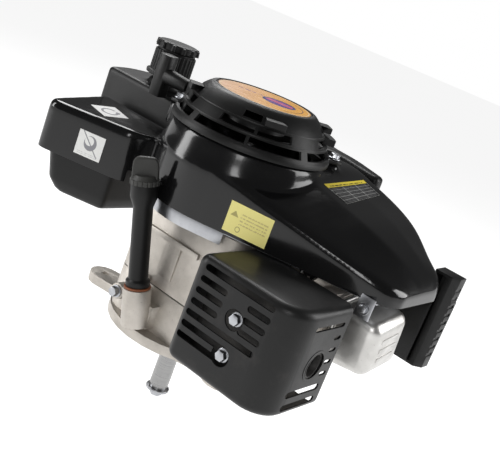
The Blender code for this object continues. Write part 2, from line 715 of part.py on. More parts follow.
def recoil_housing():
    r0, r1 = RECOIL_BASE_R, RECOIL_TOP_R
    z0, z1 = RECOIL_BASE, RECOIL_TOP
    outer = [(r0, z0), (r0, z0 + 5), (r0 - 3, z0 + 9), (r1 + 14, z1 - 13), (r1 + 5, z1 - 4), (r1, z1)]
    inner = [(r0 - 3, z0 - 1), (r0 - 3, z0 + 4), (r0 - 6, z0 + 9), (r1 + 11, z1 - 14), (r1 + 1, z1 - 3.5)]
    body = cut(loft(circles(outer)), loft(circles(inner)))
    cut(body, rod((0, 0, z1 - 1.2), (0, 0, z1 + 1), BADGE_R + 1, sides=36))
    for angle in RECOIL_EAR_ANGLES:
        x, y = polar(RECOIL_EAR_R, angle)
        ear = rod((x, y, z0), (x, y, z0 + 4), 10, sides=14)
        arm = block((r0 - 2, -10, z0), (RECOIL_EAR_R, 10, z0 + 4))
        fuse(ear, turn_about(arm, (0, 0, 0), "Z", angle))
        fuse(body, ear)
        cut(body, rod((x, y, z0 - 1), (x, y, z0 + 6), 3.4, sides=8))
    fuse(body, rod((EYE_X, ROPE_Y, ROPE_Z), (EYE_X + 20, ROPE_Y, ROPE_Z), 9, sides=14))
    cut(body, rod((EYE_X - 1, ROPE_Y, ROPE_Z), (EYE_X + 32, ROPE_Y, ROPE_Z), ROPE_R + 1.6, sides=12))
    fuse(body, rod((0, 0, z1 - 18), (0, 0, z1 - 2), 8, sides=14))
    rows = ((r0 - 6, z0 + 13.5), (r0 - 11, z0 + 21), (r0 - 15, z0 + 28))
    for row, (radius, height) in enumerate(rows):
        for quarter in (0, 1, 3):
            cut(body, slot_cutter(radius, height, 285 + quarter * 90 - row * 4, 29 - row))
    return part("recoil_housing", body, "plastic_black")


def slot_cutter(radius, height, middle, half):
    """A short curved bar that cuts one air slot through the sloping housing."""
    rings = []
    for i in range(4):
        angle = middle - half + 2 * half * i / 3
        ring = []
        for r, z in ((radius - 9, -2.2), (radius + 9, -2.2), (radius + 9, 2.2), (radius - 9, 2.2)):
            ring.append((*polar(r, angle), height + z))
        rings.append(ring)
    return loft(rings)


def starter_badge():
    z = RECOIL_TOP - 1.2 + GAP
    return part("starter_badge", rod((0, 0, z), (0, 0, z + 0.8), BADGE_R, sides=36), "badge")


def starter_reel():
    low = ROPE_Z - 6
    profile = [(9, low - 3), (REEL_R + 6, low - 3), (REEL_R + 6, low), (REEL_R - 8, low + 1)]
    profile += [(REEL_R - 8, low + 11), (REEL_R + 6, low + 12), (REEL_R + 6, low + 14), (9, low + 14)]
    return part("starter_reel", turned(profile, sides=20), "plastic_black", (0, 0, ROPE_Z))


def starter_rope():
    """The end of the rope, through the eye and into the handle."""
    x0, x1 = EYE_X - 12, EYE_X + 26
    return part("starter_rope", rod((x0, ROPE_Y, ROPE_Z), (x1, ROPE_Y, ROPE_Z), ROPE_R, sides=8), "cord")


def starter_handle():
    """A stem with a ribbed cross bar at its end."""
    x = EYE_X - 1
    y = ROPE_Y
    stem = rod((x - 34, y, ROPE_Z), (x, y, ROPE_Z), 9.5, 7.5, sides=14)
    bar = block((x - 50, y - 9, ROPE_Z - 25), (x - 32, y + 9, ROPE_Z + 23), 5)
    fuse(stem, bar)
    for i in range(4):
        z = ROPE_Z - 20 + i * 12
        cut(stem, block((x - 54, y - 12, z - 1.3), (x - 48, y + 12, z + 1.3)))
    cut(stem, rod((x - 20, y, ROPE_Z), (x + 1, y, ROPE_Z), ROPE_R + GAP, sides=8))
    return part("starter_handle", stem, "plastic_black", (x, y, ROPE_Z))


# ---- covers --------------------------------------------------------------------------------
def hood_sections(inset):
    """Stations along the cylinder: x, front wall, front wall's top, crease and its height, rear edge."""
    end = COVER_END_X
    stations = [
        (7, -COVER_R + 5, 209, 8, 235, 130, 231.5),
        (TANGENT[0], wall_y(TANGENT[0]), 208, 8, 235, 140, 231),
        (60, wall_y(60), 202, 8, 232, 148, 229),
        (85, wall_y(85), 196, 9, 221, 150, 222),
        (128, wall_y(128), 187, 12, 212, 148, 211),
        (165, wall_y(165), 179, 15, 204, 130, 202),
        (200, wall_y(200), 172, 26, 190, 108, 187),
        (end - 10, wall_y(end - 10) + 10, 166, 36, 175, 94, 174),
        (end, 10, 161, 40, 166, 80, 165),
    ]
    bottom = SHELL_BOTTOM - (1 if inset else 0)
    rings = []
    for i, (x, y0, z0, yc, zc, y1, z1) in enumerate(stations):
        x = x - inset if i == len(stations) - 1 else x
        x = x + inset if i == 0 else x
        y0, y1 = y0 + inset, y1 - inset
        z0, zc, z1 = z0 - inset, zc - inset, z1 - inset
        ring = [(x, y0, bottom), (x, y0, z0), (x, y0 + 5, z0 + 5), (x, yc, zc), (x, (yc + y1) / 2, zc)]
        ring += [(x, y1 - 12, z1), (x, y1, z1 - 8), (x, y1, bottom)]
        rings.append(ring)
    return rings


LOBE_Z = (140.0, 200.0)


def lobe_outline(inset):
    """The cover over the tank's lower chamber; the inside runs out through its back, where the tank enters."""
    back = -12 + (8 if inset else 0)
    return [
        (-106 - inset, -76 + inset),
        (-188, -110 + inset),
        (-198 + inset, -103 + inset),
        (-209 + inset, back),
        (-60, back),
        (-84, -46 + inset),
    ]


def fan_cover_solids(inset):
    """The cover's outside as three solids, or its inside where an inset is given."""
    r = COVER_R - inset
    bottom = SHELL_BOTTOM - (1 if inset else 0)
    profile = ((r, bottom), (r, COVER_WALL_TOP - inset), (r - 4, 222 - inset), (r - 6, COVER_TOP - inset))
    drum = loft(circles(profile))
    low = LOBE_Z[0] - (2 if inset else 0)
    outline = lobe_outline(inset)
    tops = [LOBE_Z[1] + (6 if y > -50 else 0) - inset for x, y in outline]
    rings = [[(x, y, low) for x, y in outline], [(x, y, z - 8) for (x, y), z in zip(outline, tops)]]
    middle = Vector((-130, -55))
    rings.append([(*(Vector(p) + (middle - Vector(p)).normalized() * 6), z) for p, z in zip(outline, tops)])
    lobe = cut(loft(rings), rod((0, 0, 120), (0, 0, SHELL_BOTTOM + inset), COVER_R + 2 + inset, sides=28))
    return drum, loft(hood_sections(inset)), lobe


def fan_cover():
    shell, hood, lobe = fan_cover_solids(0.0)
    fuse(shell, hood, lobe)
    for angle in RECOIL_EAR_ANGLES:
        x, y = polar(RECOIL_EAR_R, angle)
        boss = rod((x, y, 212), (x, y, COVER_TOP - 0.5), 9, sides=12)
        arm = block((COVER_R - 12, -8, 212), (RECOIL_EAR_R, 8, COVER_TOP - 0.5))
        fuse(shell, fuse(boss, turn_about(arm, (0, 0, 0), "Z", angle)))
    cut(shell, *fan_cover_solids(SHEET_T))
    cut(shell, rod((0, 0, 220), (0, 0, COVER_TOP + 5), 70, sides=28))
    for angle in RECOIL_EAR_ANGLES:
        x, y = polar(RECOIL_EAR_R, angle)
        cut(shell, rod((x, y, 218), (x, y, COVER_TOP + 2), 3.4, sides=8))
    return part("fan_cover", shell, "gloss_black")


def lower_shroud():
    top = SHROUD_Z
    stations = (0, 60, 120, 180, COVER_END_X - 14)
    front = [(x, wall_y(x) + 4) for x in stations if x >= TANGENT[0]]
    round_part = [polar(COVER_R - 3.5, a) for a in range(130, 290, 10)]
    rear = [(COVER_END_X - 14, 80), (180, 120), (120, 138), (0, 118)]
    outline = round_part + front + rear
    plate = prism(outline, top - SHROUD_T, top)
    band = prism(round_part[2:] + front[:1] + [(20, 0)], 140, top - 0.5)
    inner_arc = [polar(COVER_R - 5, a) for a in range(150, 290, 10)]
    cut(band, prism([(-120, 40), (-120, 90), (60, 90), (60, -40)], 130, 170))
    inner = prism(inner_arc + [(front[0][0], front[0][1] + 1.6), (20, 2)], 139, top - SHROUD_T - 0.01)
    cut(band, inner)
    fuse(plate, band)
    cut(plate, rod((0, 0, 130), (0, 0, 170), BEARING_R + 5 + 2, sides=24))
    cut(plate, rod((147, -26, 130), (147, -26, 170), 19, sides=18))
    return part("lower_shroud", plate, "zinc")


# ---- fuel tank -----------------------------------------------------------------------------
def tank_solid(inset):
    """Two chambers of the tank: one under the cover's lobe and one behind the starter."""
    lobe = [(-112 - inset, -66 + inset), (-182 + inset, -97 + inset), (-194 + inset, -91 + inset)]
    lobe += [(-202 + inset, 20 - inset), (-112 - inset, 20 - inset)]
    middle = Vector((-140, -40))
    stations = ((92 + inset, 0.3), (104 + inset, 0.14), (LOBE_Z[0], 0.0), (LOBE_Z[1] - SHEET_T - 10 - inset, 0.0))
    rings = []
    for z, shrink in stations:
        rings.append([(*(Vector(p) + (middle - Vector(p)) * shrink), z) for p in lobe])
    bulb = loft(rings)
    outer = [(-232, 0), (-237, 50), (-210, 112), (-145, 158), (-40, 182), (40, 182), (84, 174)]
    inner = [(84, 156), (50, 155), (20, 153), (-8, 140), (-36, 106), (-72, 84), (-92, 44), (-102, 0)]
    ring = []
    for index, point in enumerate(outer + inner):
        step = Vector(point).normalized() * inset
        sign = -1 if index < len(outer) else 1
        ring.append(Vector(point) + step * sign)
    if inset:
        ring[0].y += inset
        ring[-1].y += inset
        ring[len(outer) - 1].x -= inset
        ring[len(outer)].x -= inset
    top = [TANK_TOP - inset - max(0.0, (p.x - 20) * 0.08) for p in ring]
    crescent = loft([[(p.x, p.y, 165 + inset) for p in ring], [(p.x, p.y, z) for p, z in zip(ring, top)]])
    wedge = [(-204 + inset, 0), (-204 + inset, 70 - inset), (-112 - inset, 70 - inset), (-112 - inset, 0)]
    fuse(bulb, prism(wedge, 120 + inset, 190), crescent)
    return bulb


def fuel_tank():
    tank = tank_solid(0.0)
    fuse(tank, rod((CAP_X, CAP_Y, TANK_TOP - 8), (CAP_X, CAP_Y, CAP_TOP - 14), 17, sides=20))
    fuse(tank, rod((CAP_X, CAP_Y, TANK_TOP - 2), (CAP_X, CAP_Y, TANK_TOP + 9), 24, 21, sides=20))
    cut(tank, tank_solid(TANK_WALL))
    cut(tank, rod((CAP_X, CAP_Y, TANK_TOP - 30), (CAP_X, CAP_Y, CAP_TOP), 14, sides=20))
    return part("fuel_tank", tank, "plastic_black")


def fuel_cap():
    low = TANK_TOP + 9 + 4
    stations = ((0, CAP_R + 2), (4, CAP_R + 2), (4.5, CAP_R), (CAP_TOP - low, CAP_R - 2))
    cap = stacked((CAP_X, CAP_Y, low), (0, 0, 1), stations, 28)
    cut(cap, rod((CAP_X, CAP_Y, low - 1), (CAP_X, CAP_Y, CAP_TOP - 12), 18, sides=20))
    fuse(cap, rod((CAP_X, CAP_Y, CAP_TOP - 24), (CAP_X, CAP_Y, CAP_TOP - 11), 12, sides=18))
    return part("fuel_cap", cap, "plastic_black", (CAP_X, CAP_Y, low))


# ---- oil filler ----------------------------------------------------------------------------
def tube_points():
    foot, head = Vector(TUBE_FOOT), Vector(TUBE_HEAD)
    return foot, head, (head - foot).normalized()


def oil_filler_tube():
    foot, head, along = tube_points()
    base = foot + along * (2.2 + 2 * GAP)
    length = (head - base).length
    stations = ((0, TUBE_R + 2.5), (6, TUBE_R + 2.5), (8, TUBE_R), (length - 24, TUBE_R))
    pipe = stacked(base, along, stations + ((length - 13, 14.5), (length, 14.5)))
    cut(pipe, rod(base - along, head + along, TUBE_R - 2.5, sides=14))
    return part("oil_filler_tube", pipe, "plastic_black")


def filler_tube_seal():
    foot, _, along = tube_points()
    ring = rod(foot + along * GAP, foot + along * (GAP + 2.2), TUBE_R + 4, sides=18)
    cut(ring, rod(foot - along * 2, foot + along * 6, TUBE_R - 2, sides=14))
    return part("filler_tube_seal", ring, "rubber")


def dipstick():
    foot, head, along = tube_points()
    base = head + along * GAP
    knob = stacked(base, along, ((0, 15.5), (5, 15.5), (9, 11)), 28)
    side, other = frame_between(foot, head)
    wing = []
    for height, half in ((5, 13.5), (24, 12), (27, 9)):
        ring = []
        for a, b in ((half, 4), (-half, 4), (-half, -4), (half, -4)):
            ring.append(base + along * height + side * a + other * b)
        wing.append(ring)
    fuse(knob, loft(wing))
    fuse(knob, rod(base - along * 8, base + along, TUBE_R - 3.2, sides=14))
    fuse(knob, rod(base - along * 120, base - along * 7, 1.8, sides=8))
    return part("dipstick", knob, "grey_plastic", tuple(base))


def tube_clamp_bolt():
    return part(
        "tube_clamp_bolt", hex_bolt((-36, CASE_Y[0] - 16 - GAP, 36), (0, -1, 0), 0.2, 3.0), "zinc"
    )


# ---- exhaust -------------------------------------------------------------------------------
STUD_X = 148.0
STUD_Z = (74.0, 112.0)


def rounded_box(lo, hi, corner):
    """A box whose edges along Y are rounded and whose front is softened."""
    rings = []
    for y, grow in ((hi[1], 0.0), (lo[1] + 7, 0.0), (lo[1] + 2, -2.0), (lo[1], -7.0)):
        outline = rounded_rect(
            lo[0] - grow, lo[2] - grow, hi[0] + grow, hi[2] + grow, corner + min(grow, 0) * 0.6, 3
        )
        rings.append([(a, y, b) for a, b in outline])
    return loft(rings)


def guard_slot(x0, x1, z):
    half = 2.7
    cutter = block((x0, GUARD_Y[0] - 5, z - half), (x1, GUARD_Y[0] + 12, z + half))
    return cutter


def muffler_guard():
    x0, x1 = GUARD_X
    z0, z1 = GUARD_Z
    y0, y1 = GUARD_Y
    t = SHEET_T
    guard = rounded_box((x0, y0, z0), (x1, y1, z1), GUARD_CORNER)
    cut(guard, rounded_box((x0 + t, y0 + t, z0 + t), (x1 - t, y1 + 1, z1 - t), GUARD_CORNER - t))
    pitch = SLOT_PITCH
    for row in range(7):
        z = z1 - 8 - row * pitch
        if row in (0, 4):
            cut(guard, guard_slot(x0 + 12, x1 - 14, z))
            continue
        cut(guard, guard_slot(x0 + 12, x0 + (42 if row < 4 else 60), z))
        if row < 4:
            cut(guard, guard_slot(x1 - 36, x1 - 14, z))
    for z in STUD_Z:
        cut(guard, rod((STUD_X, y0 - 5, z), (STUD_X, y0 + 12, z), 8.5, sides=18))
    outlet = rod((x1 - 8, -90, 92), (x1 + 5, -90, 92), 13, sides=18)
    cut(guard, outlet)
    for z in (z0 + 12, z0 + 24):
        cut(guard, block((x1 - 8, y0 + 16, z - 3), (x1 + 4, y1 - 12, z + 3)))
    cut(guard, block((x1 - 8, -120, z1 - 24), (x1 + 4, y1 - 8, z1 - 19)))
    return part("muffler_guard", guard, "satin_black")


def muffler():
    """The silencer's box, its inlet neck to the head and its outlet pipe."""
    x0, x1 = GUARD_X[0] + 9, GUARD_X[1] - 9
    y0, y1 = GUARD_Y[0] + 14, GUARD_Y[1] - 8
    z0, z1 = GUARD_Z[0] + 8, GUARD_Z[1] - 8
    box = block((x0, y0, z0), (x1, y1, z1), 14, 3)
    port_x = HEAD_X + 22
    fuse(box, rod((port_x, y1 - 3, EXHAUST_Z), (port_x, -48 - GAP, EXHAUST_Z), 12, sides=18))
    fuse(box, rod((x1 - 3, -90, 92), (GUARD_X[1] - 1, -90, 92), 10, sides=18))
    cut(box, rod((x1 - 24, -90, 92), (GUARD_X[1] + 2, -90, 92), 8, sides=18))
    cut(box, rod((port_x, y1 - 26, EXHAUST_Z), (port_x, -45, EXHAUST_Z), 9.5, sides=18))
    for z in STUD_Z:
        fuse(box, rod((STUD_X, y0 + 2, z), (STUD_X, GUARD_Y[0] + 3, z), 3.0, sides=8))
    return part("muffler", box, "cast_iron")


def guard_nut(name, z):
    y = GUARD_Y[0] + 4
    nut = rod((STUD_X, y, z), (STUD_X, y + 2, z), 7.2, sides=12)
    fuse(nut, rod((STUD_X, y - 5, z), (STUD_X, y + 1, z), 5.6, sides=6))
    cut(nut, rod((STUD_X, y - 3.5, z), (STUD_X, y + 3, z), 3.0 + GAP, sides=8))
    return part(name, nut, "zinc")


# ---- carburettor and air cleaner ------------------------------------------------------------
PORT_Y = 64.0
AIR_Y = PORT_Y + 44 + 2 * GAP  # back of the air cleaner's tray
AIR_X = (132.0, 237.0)
AIR_Z = (68.0, 149.0)
SNORKEL_TOP = 178.0


def carburetor():
    """Body on the intake port, with its flange, throat and bowl seat."""
    x = HEAD_X + 22
    y0 = PORT_Y + GAP
    z = CYLINDER_Z
    body = block((x - 15, y0, z - 14), (x + 15, y0 + 6, z + 14))
    fuse(body, rod((x, y0 + 4, z), (x, y0 + 40, z), 14, sides=18))
    fuse(body, block((x - 12, y0 + 12, z - 26), (x + 12, y0 + 32, z + 10)))
    fuse(body, rod((x, y0 + 39, z), (x, y0 + 44, z), 18, sides=20))
    fuse(body, rod((x, y0 + 22, z + 8), (x, y0 + 22, z + 20), 3.0, sides=8))
    fuse(body, rod((x, y0 + 35, z + 8), (x, y0 + 35, z + 20), 3.0, sides=8))
    cut(body, rod((x, y0 - 1, z), (x, y0 + 46, z), 8.5, sides=14))
    return part("carburetor", body, "cast_aluminium")


def float_bowl():
    x = HEAD_X + 22
    y = PORT_Y + GAP + 22
    z = CYLINDER_Z - 26 - GAP
    bowl = rod((x, y, z - 24), (x, y, z), 15, 17, sides=20)
    cut(bowl, rod((x, y, z - 21), (x, y, z + 1), 13, sides=18))
    return part("float_bowl", bowl, "zinc")


def lever(name, y, length, turn):
    x = HEAD_X + 22
    z = CYLINDER_Z + 20 + GAP
    plate = block((x - 5, y - 4, z), (x + length, y + 4, z + 2))
    knob = rod((x + length, y, z), (x + length, y, z + 6), 4, sides=12)
    fuse(plate, rod((x, y, z), (x, y, z + 2), 5.8, sides=14), knob)
    turn_about(plate, (x, y, z), "Z", turn)
    return part(name, plate, "zinc", (x, y, z))


def air_cleaner_base():
    x = HEAD_X + 22
    low, high = AIR_Z[0] + 4, AIR_Z[1] - 6
    tray = block((AIR_X[0] + 4, AIR_Y, low), (AIR_X[1] - 15, AIR_Y + 4, high))
    rim = block((AIR_X[0] + 4, AIR_Y, low), (AIR_X[0] + 7, AIR_Y + 14, high))
    fuse(tray, rim, block((AIR_X[0] + 4, AIR_Y, low), (AIR_X[1] - 15, AIR_Y + 14, low + 3)))
    cut(tray, rod((x, AIR_Y - 1, CYLINDER_Z), (x, AIR_Y + 5, CYLINDER_Z), 8.5, sides=14))
    return part("air_cleaner_base", tray, "plastic_black")


def air_filter():
    filt = block((AIR_X[0] + 14, AIR_Y + 4 + GAP, AIR_Z[0] + 12), (AIR_X[1] - 21, AIR_Y + 20, AIR_Z[1] - 10))
    return part("air_filter", filt, "foam")


def air_cleaner_cover():
    """The lid over the element, with its intake snorkel rising at the engine's end."""
    x0, x1 = AIR_X
    z0, z1 = AIR_Z
    y0, y1 = AIR_Y + 6, AIR_Y + 30
    lid = block((x0, y0, z0), (x1, y1, z1))
    fuse(lid, block((x1 - 28, y0, z1 - 20), (x1 - 0.5, y1 - 0.5, SNORKEL_TOP)))
    cut(lid, block((x0 + 3, y0 - 1, z0 + 3), (x1 - 3, y1 - 3, z1 - 3)))
    cut(lid, block((x1 - 25, y0 - 1, z1 - 10), (x1 - 3, y1 - 3.5, SNORKEL_TOP - 3)))
    for i in range(9):
        z = z0 + 14 + i * 10
        cut(lid, block((x1 - 1.2, y0 + 3, z), (x1 + 1, y1 - 3, z + 4)))
    return part("air_cleaner_cover", lid, "plastic_black", (x0, y0, z0))


# ---- ignition and fasteners -----------------------------------------------------------------
def spark_plug():
    base = Vector((HEAD_X + 4, -14, CYLINDER_Z + 20))
    plug = rod(base + PLUG_AXIS * 1, base + PLUG_AXIS * 16.5, 6.0, sides=12)
    fuse(plug, rod(base + PLUG_AXIS * 16.4, base + PLUG_AXIS * 26, 10.2, sides=6))
    fuse(plug, rod(base + PLUG_AXIS * 25, base + PLUG_AXIS * 42, 5.0, sides=12))
    return part("spark_plug", plug, "ceramic")


def spark_plug_cap():
    base = Vector((HEAD_X + 4, -14, CYLINDER_Z + 20))
    cap = rod(base + PLUG_AXIS * 27, base + PLUG_AXIS * 48, 8.5, sides=14)
    cut(cap, rod(base + PLUG_AXIS * 26, base + PLUG_AXIS * 43, 5.0 + GAP, sides=12))
    return part("spark_plug_cap", cap, "rubber")


def ignition_coil():
    """The coil sits beside the flywheel's rim, on the side away from the silencer."""
    r = FLYWHEEL_R + 2
    coil = block((r, -14, 162), (r + 22, 14, 182))
    fuse(coil, block((r - 0.5, -22, 166), (r + 6, 22, 178)))
    turn_about(coil, (0, 0, 0), "Z", 60)
    return part("ignition_coil", coil, "plastic_black")


def recoil_bolt(name, angle):
    x, y = polar(RECOIL_EAR_R, angle)
    bolt = hex_bolt((x, y, RECOIL_BASE + 4 + GAP), (0, 0, 1), 20, 3.0, 4.5)
    return part(name, bolt, "zinc")


def build():
    clear_scene()
    oil_sump()
    sump_gasket()
    crankcase()
    head_gasket()
    cylinder_head()
    valve_cover()
    crankshaft_lower()
    crankshaft_upper()
    crank_gear()
    camshaft()
    upper_bearing()
    lower_oil_seal()
    piston()
    piston_ring()
    wrist_pin()
    connecting_rod()
    crankpin()
    shaft_washer()
    shaft_bolt()
    valve("intake_valve", INTAKE_Z, 13.0)
    valve("exhaust_valve", EXHAUST_Z, 12.0)
    valve_spring("intake_spring", INTAKE_Z)
    valve_spring("exhaust_spring", EXHAUST_Z)
    rocker("intake_rocker", INTAKE_Z)
    rocker("exhaust_rocker", EXHAUST_Z)
    pushrod("intake_pushrod", INTAKE_Z)
    pushrod("exhaust_pushrod", EXHAUST_Z)
    flywheel()
    cooling_fan()
    starter_cup()
    flywheel_nut()
    recoil_housing()
    starter_badge()
    starter_reel()
    starter_rope()
    starter_handle()
    fan_cover()
    lower_shroud()
    fuel_tank()
    fuel_cap()
    oil_filler_tube()
    filler_tube_seal()
    dipstick()
    tube_clamp_bolt()
    muffler_guard()
    muffler()
    guard_nut("guard_nut_upper", STUD_Z[1])
    guard_nut("guard_nut_lower", STUD_Z[0])
    carburetor()
    float_bowl()
    lever("throttle_lever", PORT_Y + GAP + 22, 24.0, 200.0)
    lever("choke_lever", PORT_Y + GAP + 35, 22.0, 160.0)
    air_cleaner_base()
    air_filter()
    air_cleaner_cover()
    spark_plug()
    spark_plug_cap()
    ignition_coil()
    recoil_bolt("recoil_bolt_left", RECOIL_EAR_ANGLES[0])
    recoil_bolt("recoil_bolt_right", RECOIL_EAR_ANGLES[1])


build()
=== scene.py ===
# %% [markdown]
# # A small petrol engine
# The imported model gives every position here: this script loads it as a frame, builds the pieces that
# show in more detail around it, and gives each piece a finish made of shader nodes.

# %% Load the frame
import json
import math

import bpy
from mathutils import Matrix, Vector


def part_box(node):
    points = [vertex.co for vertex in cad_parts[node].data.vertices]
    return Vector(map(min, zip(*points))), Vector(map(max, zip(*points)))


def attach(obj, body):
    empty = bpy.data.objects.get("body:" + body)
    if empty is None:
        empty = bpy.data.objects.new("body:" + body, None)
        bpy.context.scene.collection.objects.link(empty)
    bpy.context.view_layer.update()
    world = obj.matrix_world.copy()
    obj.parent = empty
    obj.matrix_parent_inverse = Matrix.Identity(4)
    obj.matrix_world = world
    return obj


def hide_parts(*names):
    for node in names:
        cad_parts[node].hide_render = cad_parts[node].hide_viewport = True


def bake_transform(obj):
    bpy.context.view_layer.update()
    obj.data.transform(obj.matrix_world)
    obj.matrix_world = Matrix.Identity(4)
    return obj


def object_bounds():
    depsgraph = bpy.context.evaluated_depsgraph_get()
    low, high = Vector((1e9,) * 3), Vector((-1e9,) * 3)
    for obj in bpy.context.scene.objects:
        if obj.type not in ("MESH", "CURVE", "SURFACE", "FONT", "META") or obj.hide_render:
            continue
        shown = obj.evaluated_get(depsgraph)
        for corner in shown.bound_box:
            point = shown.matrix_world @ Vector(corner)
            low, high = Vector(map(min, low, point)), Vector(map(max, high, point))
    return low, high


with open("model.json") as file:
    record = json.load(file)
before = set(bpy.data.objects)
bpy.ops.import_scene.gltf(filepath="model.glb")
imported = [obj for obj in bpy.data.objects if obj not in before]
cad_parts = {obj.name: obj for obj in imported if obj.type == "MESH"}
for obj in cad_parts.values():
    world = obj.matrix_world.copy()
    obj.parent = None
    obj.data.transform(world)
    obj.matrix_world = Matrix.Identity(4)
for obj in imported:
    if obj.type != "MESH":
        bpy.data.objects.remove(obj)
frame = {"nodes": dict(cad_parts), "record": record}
cad_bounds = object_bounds()
MM = 0.001
print("frame loaded:", len(frame["nodes"]), "nodes")

# %% [markdown]
# ## Camera
# The engine is looked down on from its silencer side, and the camera leans to one side, so the crankshaft
# stands at an angle in the frame. The camera's place is given as a point, two angles turn it towards the
# engine, and a third rolls it. A constraint could aim it too, but the three turned axes say the roll
# plainly.

# %% Camera
AZIMUTH, ELEVATION, ROLL = math.radians(32.55), math.radians(16.24), math.radians(20.98)
CAMERA_PLACE = Vector((0.5381, -0.7808, 0.4202))

back = Vector(
    (math.sin(AZIMUTH) * math.cos(ELEVATION), -math.cos(AZIMUTH) * math.cos(ELEVATION), math.sin(ELEVATION))
)
right = Vector((math.cos(AZIMUTH), math.sin(AZIMUTH), 0))
up = back.cross(right)
image_x = math.cos(ROLL) * right + math.sin(ROLL) * up
image_y = -math.sin(ROLL) * right + math.cos(ROLL) * up

lens = bpy.data.cameras.new("camera")
lens.lens, lens.sensor_width, lens.clip_start = 64.3, 36.0, 0.01
camera = bpy.data.objects.new("camera", lens)
bpy.context.scene.collection.objects.link(camera)
turned = Matrix((image_x, image_y, back)).transposed().to_4x4()
camera.matrix_world = Matrix.Translation(CAMERA_PLACE) @ turned
bpy.context.scene.camera = camera
print("camera at", tuple(round(v, 3) for v in CAMERA_PLACE))

# %% [markdown]
# ## Studio
# A pale floor under the engine, a broad soft lamp overhead, two tall ones in front and one behind. Black
# gloss shows little but reflections, so the lamps' shapes matter more than their power. The floor glows by
# itself to stay pale, and the white world lights the engine only faintly, which keeps the blacks deep.

# %% Studio
FLOOR_Z = cad_bounds[0][2] - 0.0005
AMBIENT = 0.09


def soft_lamp(name, place, target, size, watts):
    data = bpy.data.lights.new(name, "AREA")
    data.shape = "RECTANGLE"
    data.size, data.size_y = size
    data.energy = watts
    lamp = bpy.data.objects.new(name, data)
    bpy.context.scene.collection.objects.link(lamp)
    aim = Vector(target) - Vector(place)
    lamp.matrix_world = Matrix.Translation(place) @ aim.to_track_quat("-Z", "Y").to_matrix().to_4x4()


bpy.ops.mesh.primitive_plane_add(size=14, location=(0, 0, FLOOR_Z))
floor = bpy.context.object
floor.name = "floor"
floor_paint = bpy.data.materials.new("floor_paint")
floor_paint.use_nodes = True
floor_shader = floor_paint.node_tree.nodes["Principled BSDF"]
floor_shader.inputs["Base Color"].default_value = (0.4, 0.4, 0.4, 1)
floor_shader.inputs["Roughness"].default_value = 0.9
floor_shader.inputs["Specular IOR Level"].default_value = 0.1
floor_shader.inputs["Emission Color"].default_value = (1, 1, 1, 1)
floor_shader.inputs["Emission Strength"].default_value = 0.88
floor.data.materials.append(floor_paint)

soft_lamp("overhead", (-0.75, 0.55, 1.15), (0.0, 0.0, 0.15), (0.9, 0.7), 15)
soft_lamp("left_wall", (-1.15, -0.95, 0.55), (0.0, 0.0, 0.15), (0.4, 1.0), 11)
soft_lamp("front_strip", (0.75, -1.25, 0.75), (0.1, 0.0, 0.15), (0.25, 0.7), 4.5)
soft_lamp("rear_rim", (0.95, 0.75, 0.65), (0.1, 0.05, 0.15), (0.6, 0.8), 9)

world = bpy.data.worlds.new("studio")
world.use_nodes = True
sky = world.node_tree.nodes["Background"]
sky.inputs["Color"].default_value = (1, 1, 1, 1)
ray = world.node_tree.nodes.new("ShaderNodeLightPath")
dim = world.node_tree.nodes.new("ShaderNodeMapRange")
dim.inputs["To Min"].default_value, dim.inputs["To Max"].default_value = AMBIENT, 1.0
world.node_tree.links.new(ray.outputs["Is Camera Ray"], dim.inputs["Value"])
world.node_tree.links.new(dim.outputs["Result"], sky.inputs["Strength"])
bpy.context.scene.world = world
bpy.context.scene.view_settings.view_transform = "Standard"
bpy.context.scene.view_settings.look = "None"
print("studio: 4 soft lamps over a pale floor at", round(FLOOR_Z, 4))

# %% [markdown]
# ## Shader sums
# A finish is easier to read as sums than as boxes and wires. `Wire` wraps one socket, so that
# `1 - mask * 0.5` adds the Math nodes that it needs, and `Finish` holds one material.


# %% A socket that can be added and multiplied
class Wire:
    def __init__(self, finish, socket):
        self.finish, self.socket = finish, socket

    def sum(self, operation, first, second=None):
        return self.finish.node("ShaderNodeMath", {"operation": operation}, {0: first, 1: second})

    def __add__(self, other):
        return self.sum("ADD", self, other)

    def __sub__(self, other):
        return self.sum("SUBTRACT", self, other)

    def __mul__(self, other):
        return self.sum("MULTIPLY", self, other)

    def __rsub__(self, other):
        return self.sum("SUBTRACT", other, self)

    def __pow__(self, other):
        return self.sum("POWER", self, other)

    __radd__ = __add__
    __rmul__ = __mul__

    def below(self, limit):
        return self.sum("LESS_THAN", self, limit)

    def above(self, limit):
        return self.sum("GREATER_THAN", self, limit)

    def size(self):
        return self.sum("ABSOLUTE", self)

    def repeat(self):
        return self.sum("FRACT", self)

    def wave(self):
        return self.sum("SINE", self)

    def both(self, other):
        return self.sum("MINIMUM", self, other)

    def either(self, other):
        return self.sum("MAXIMUM", self, other)


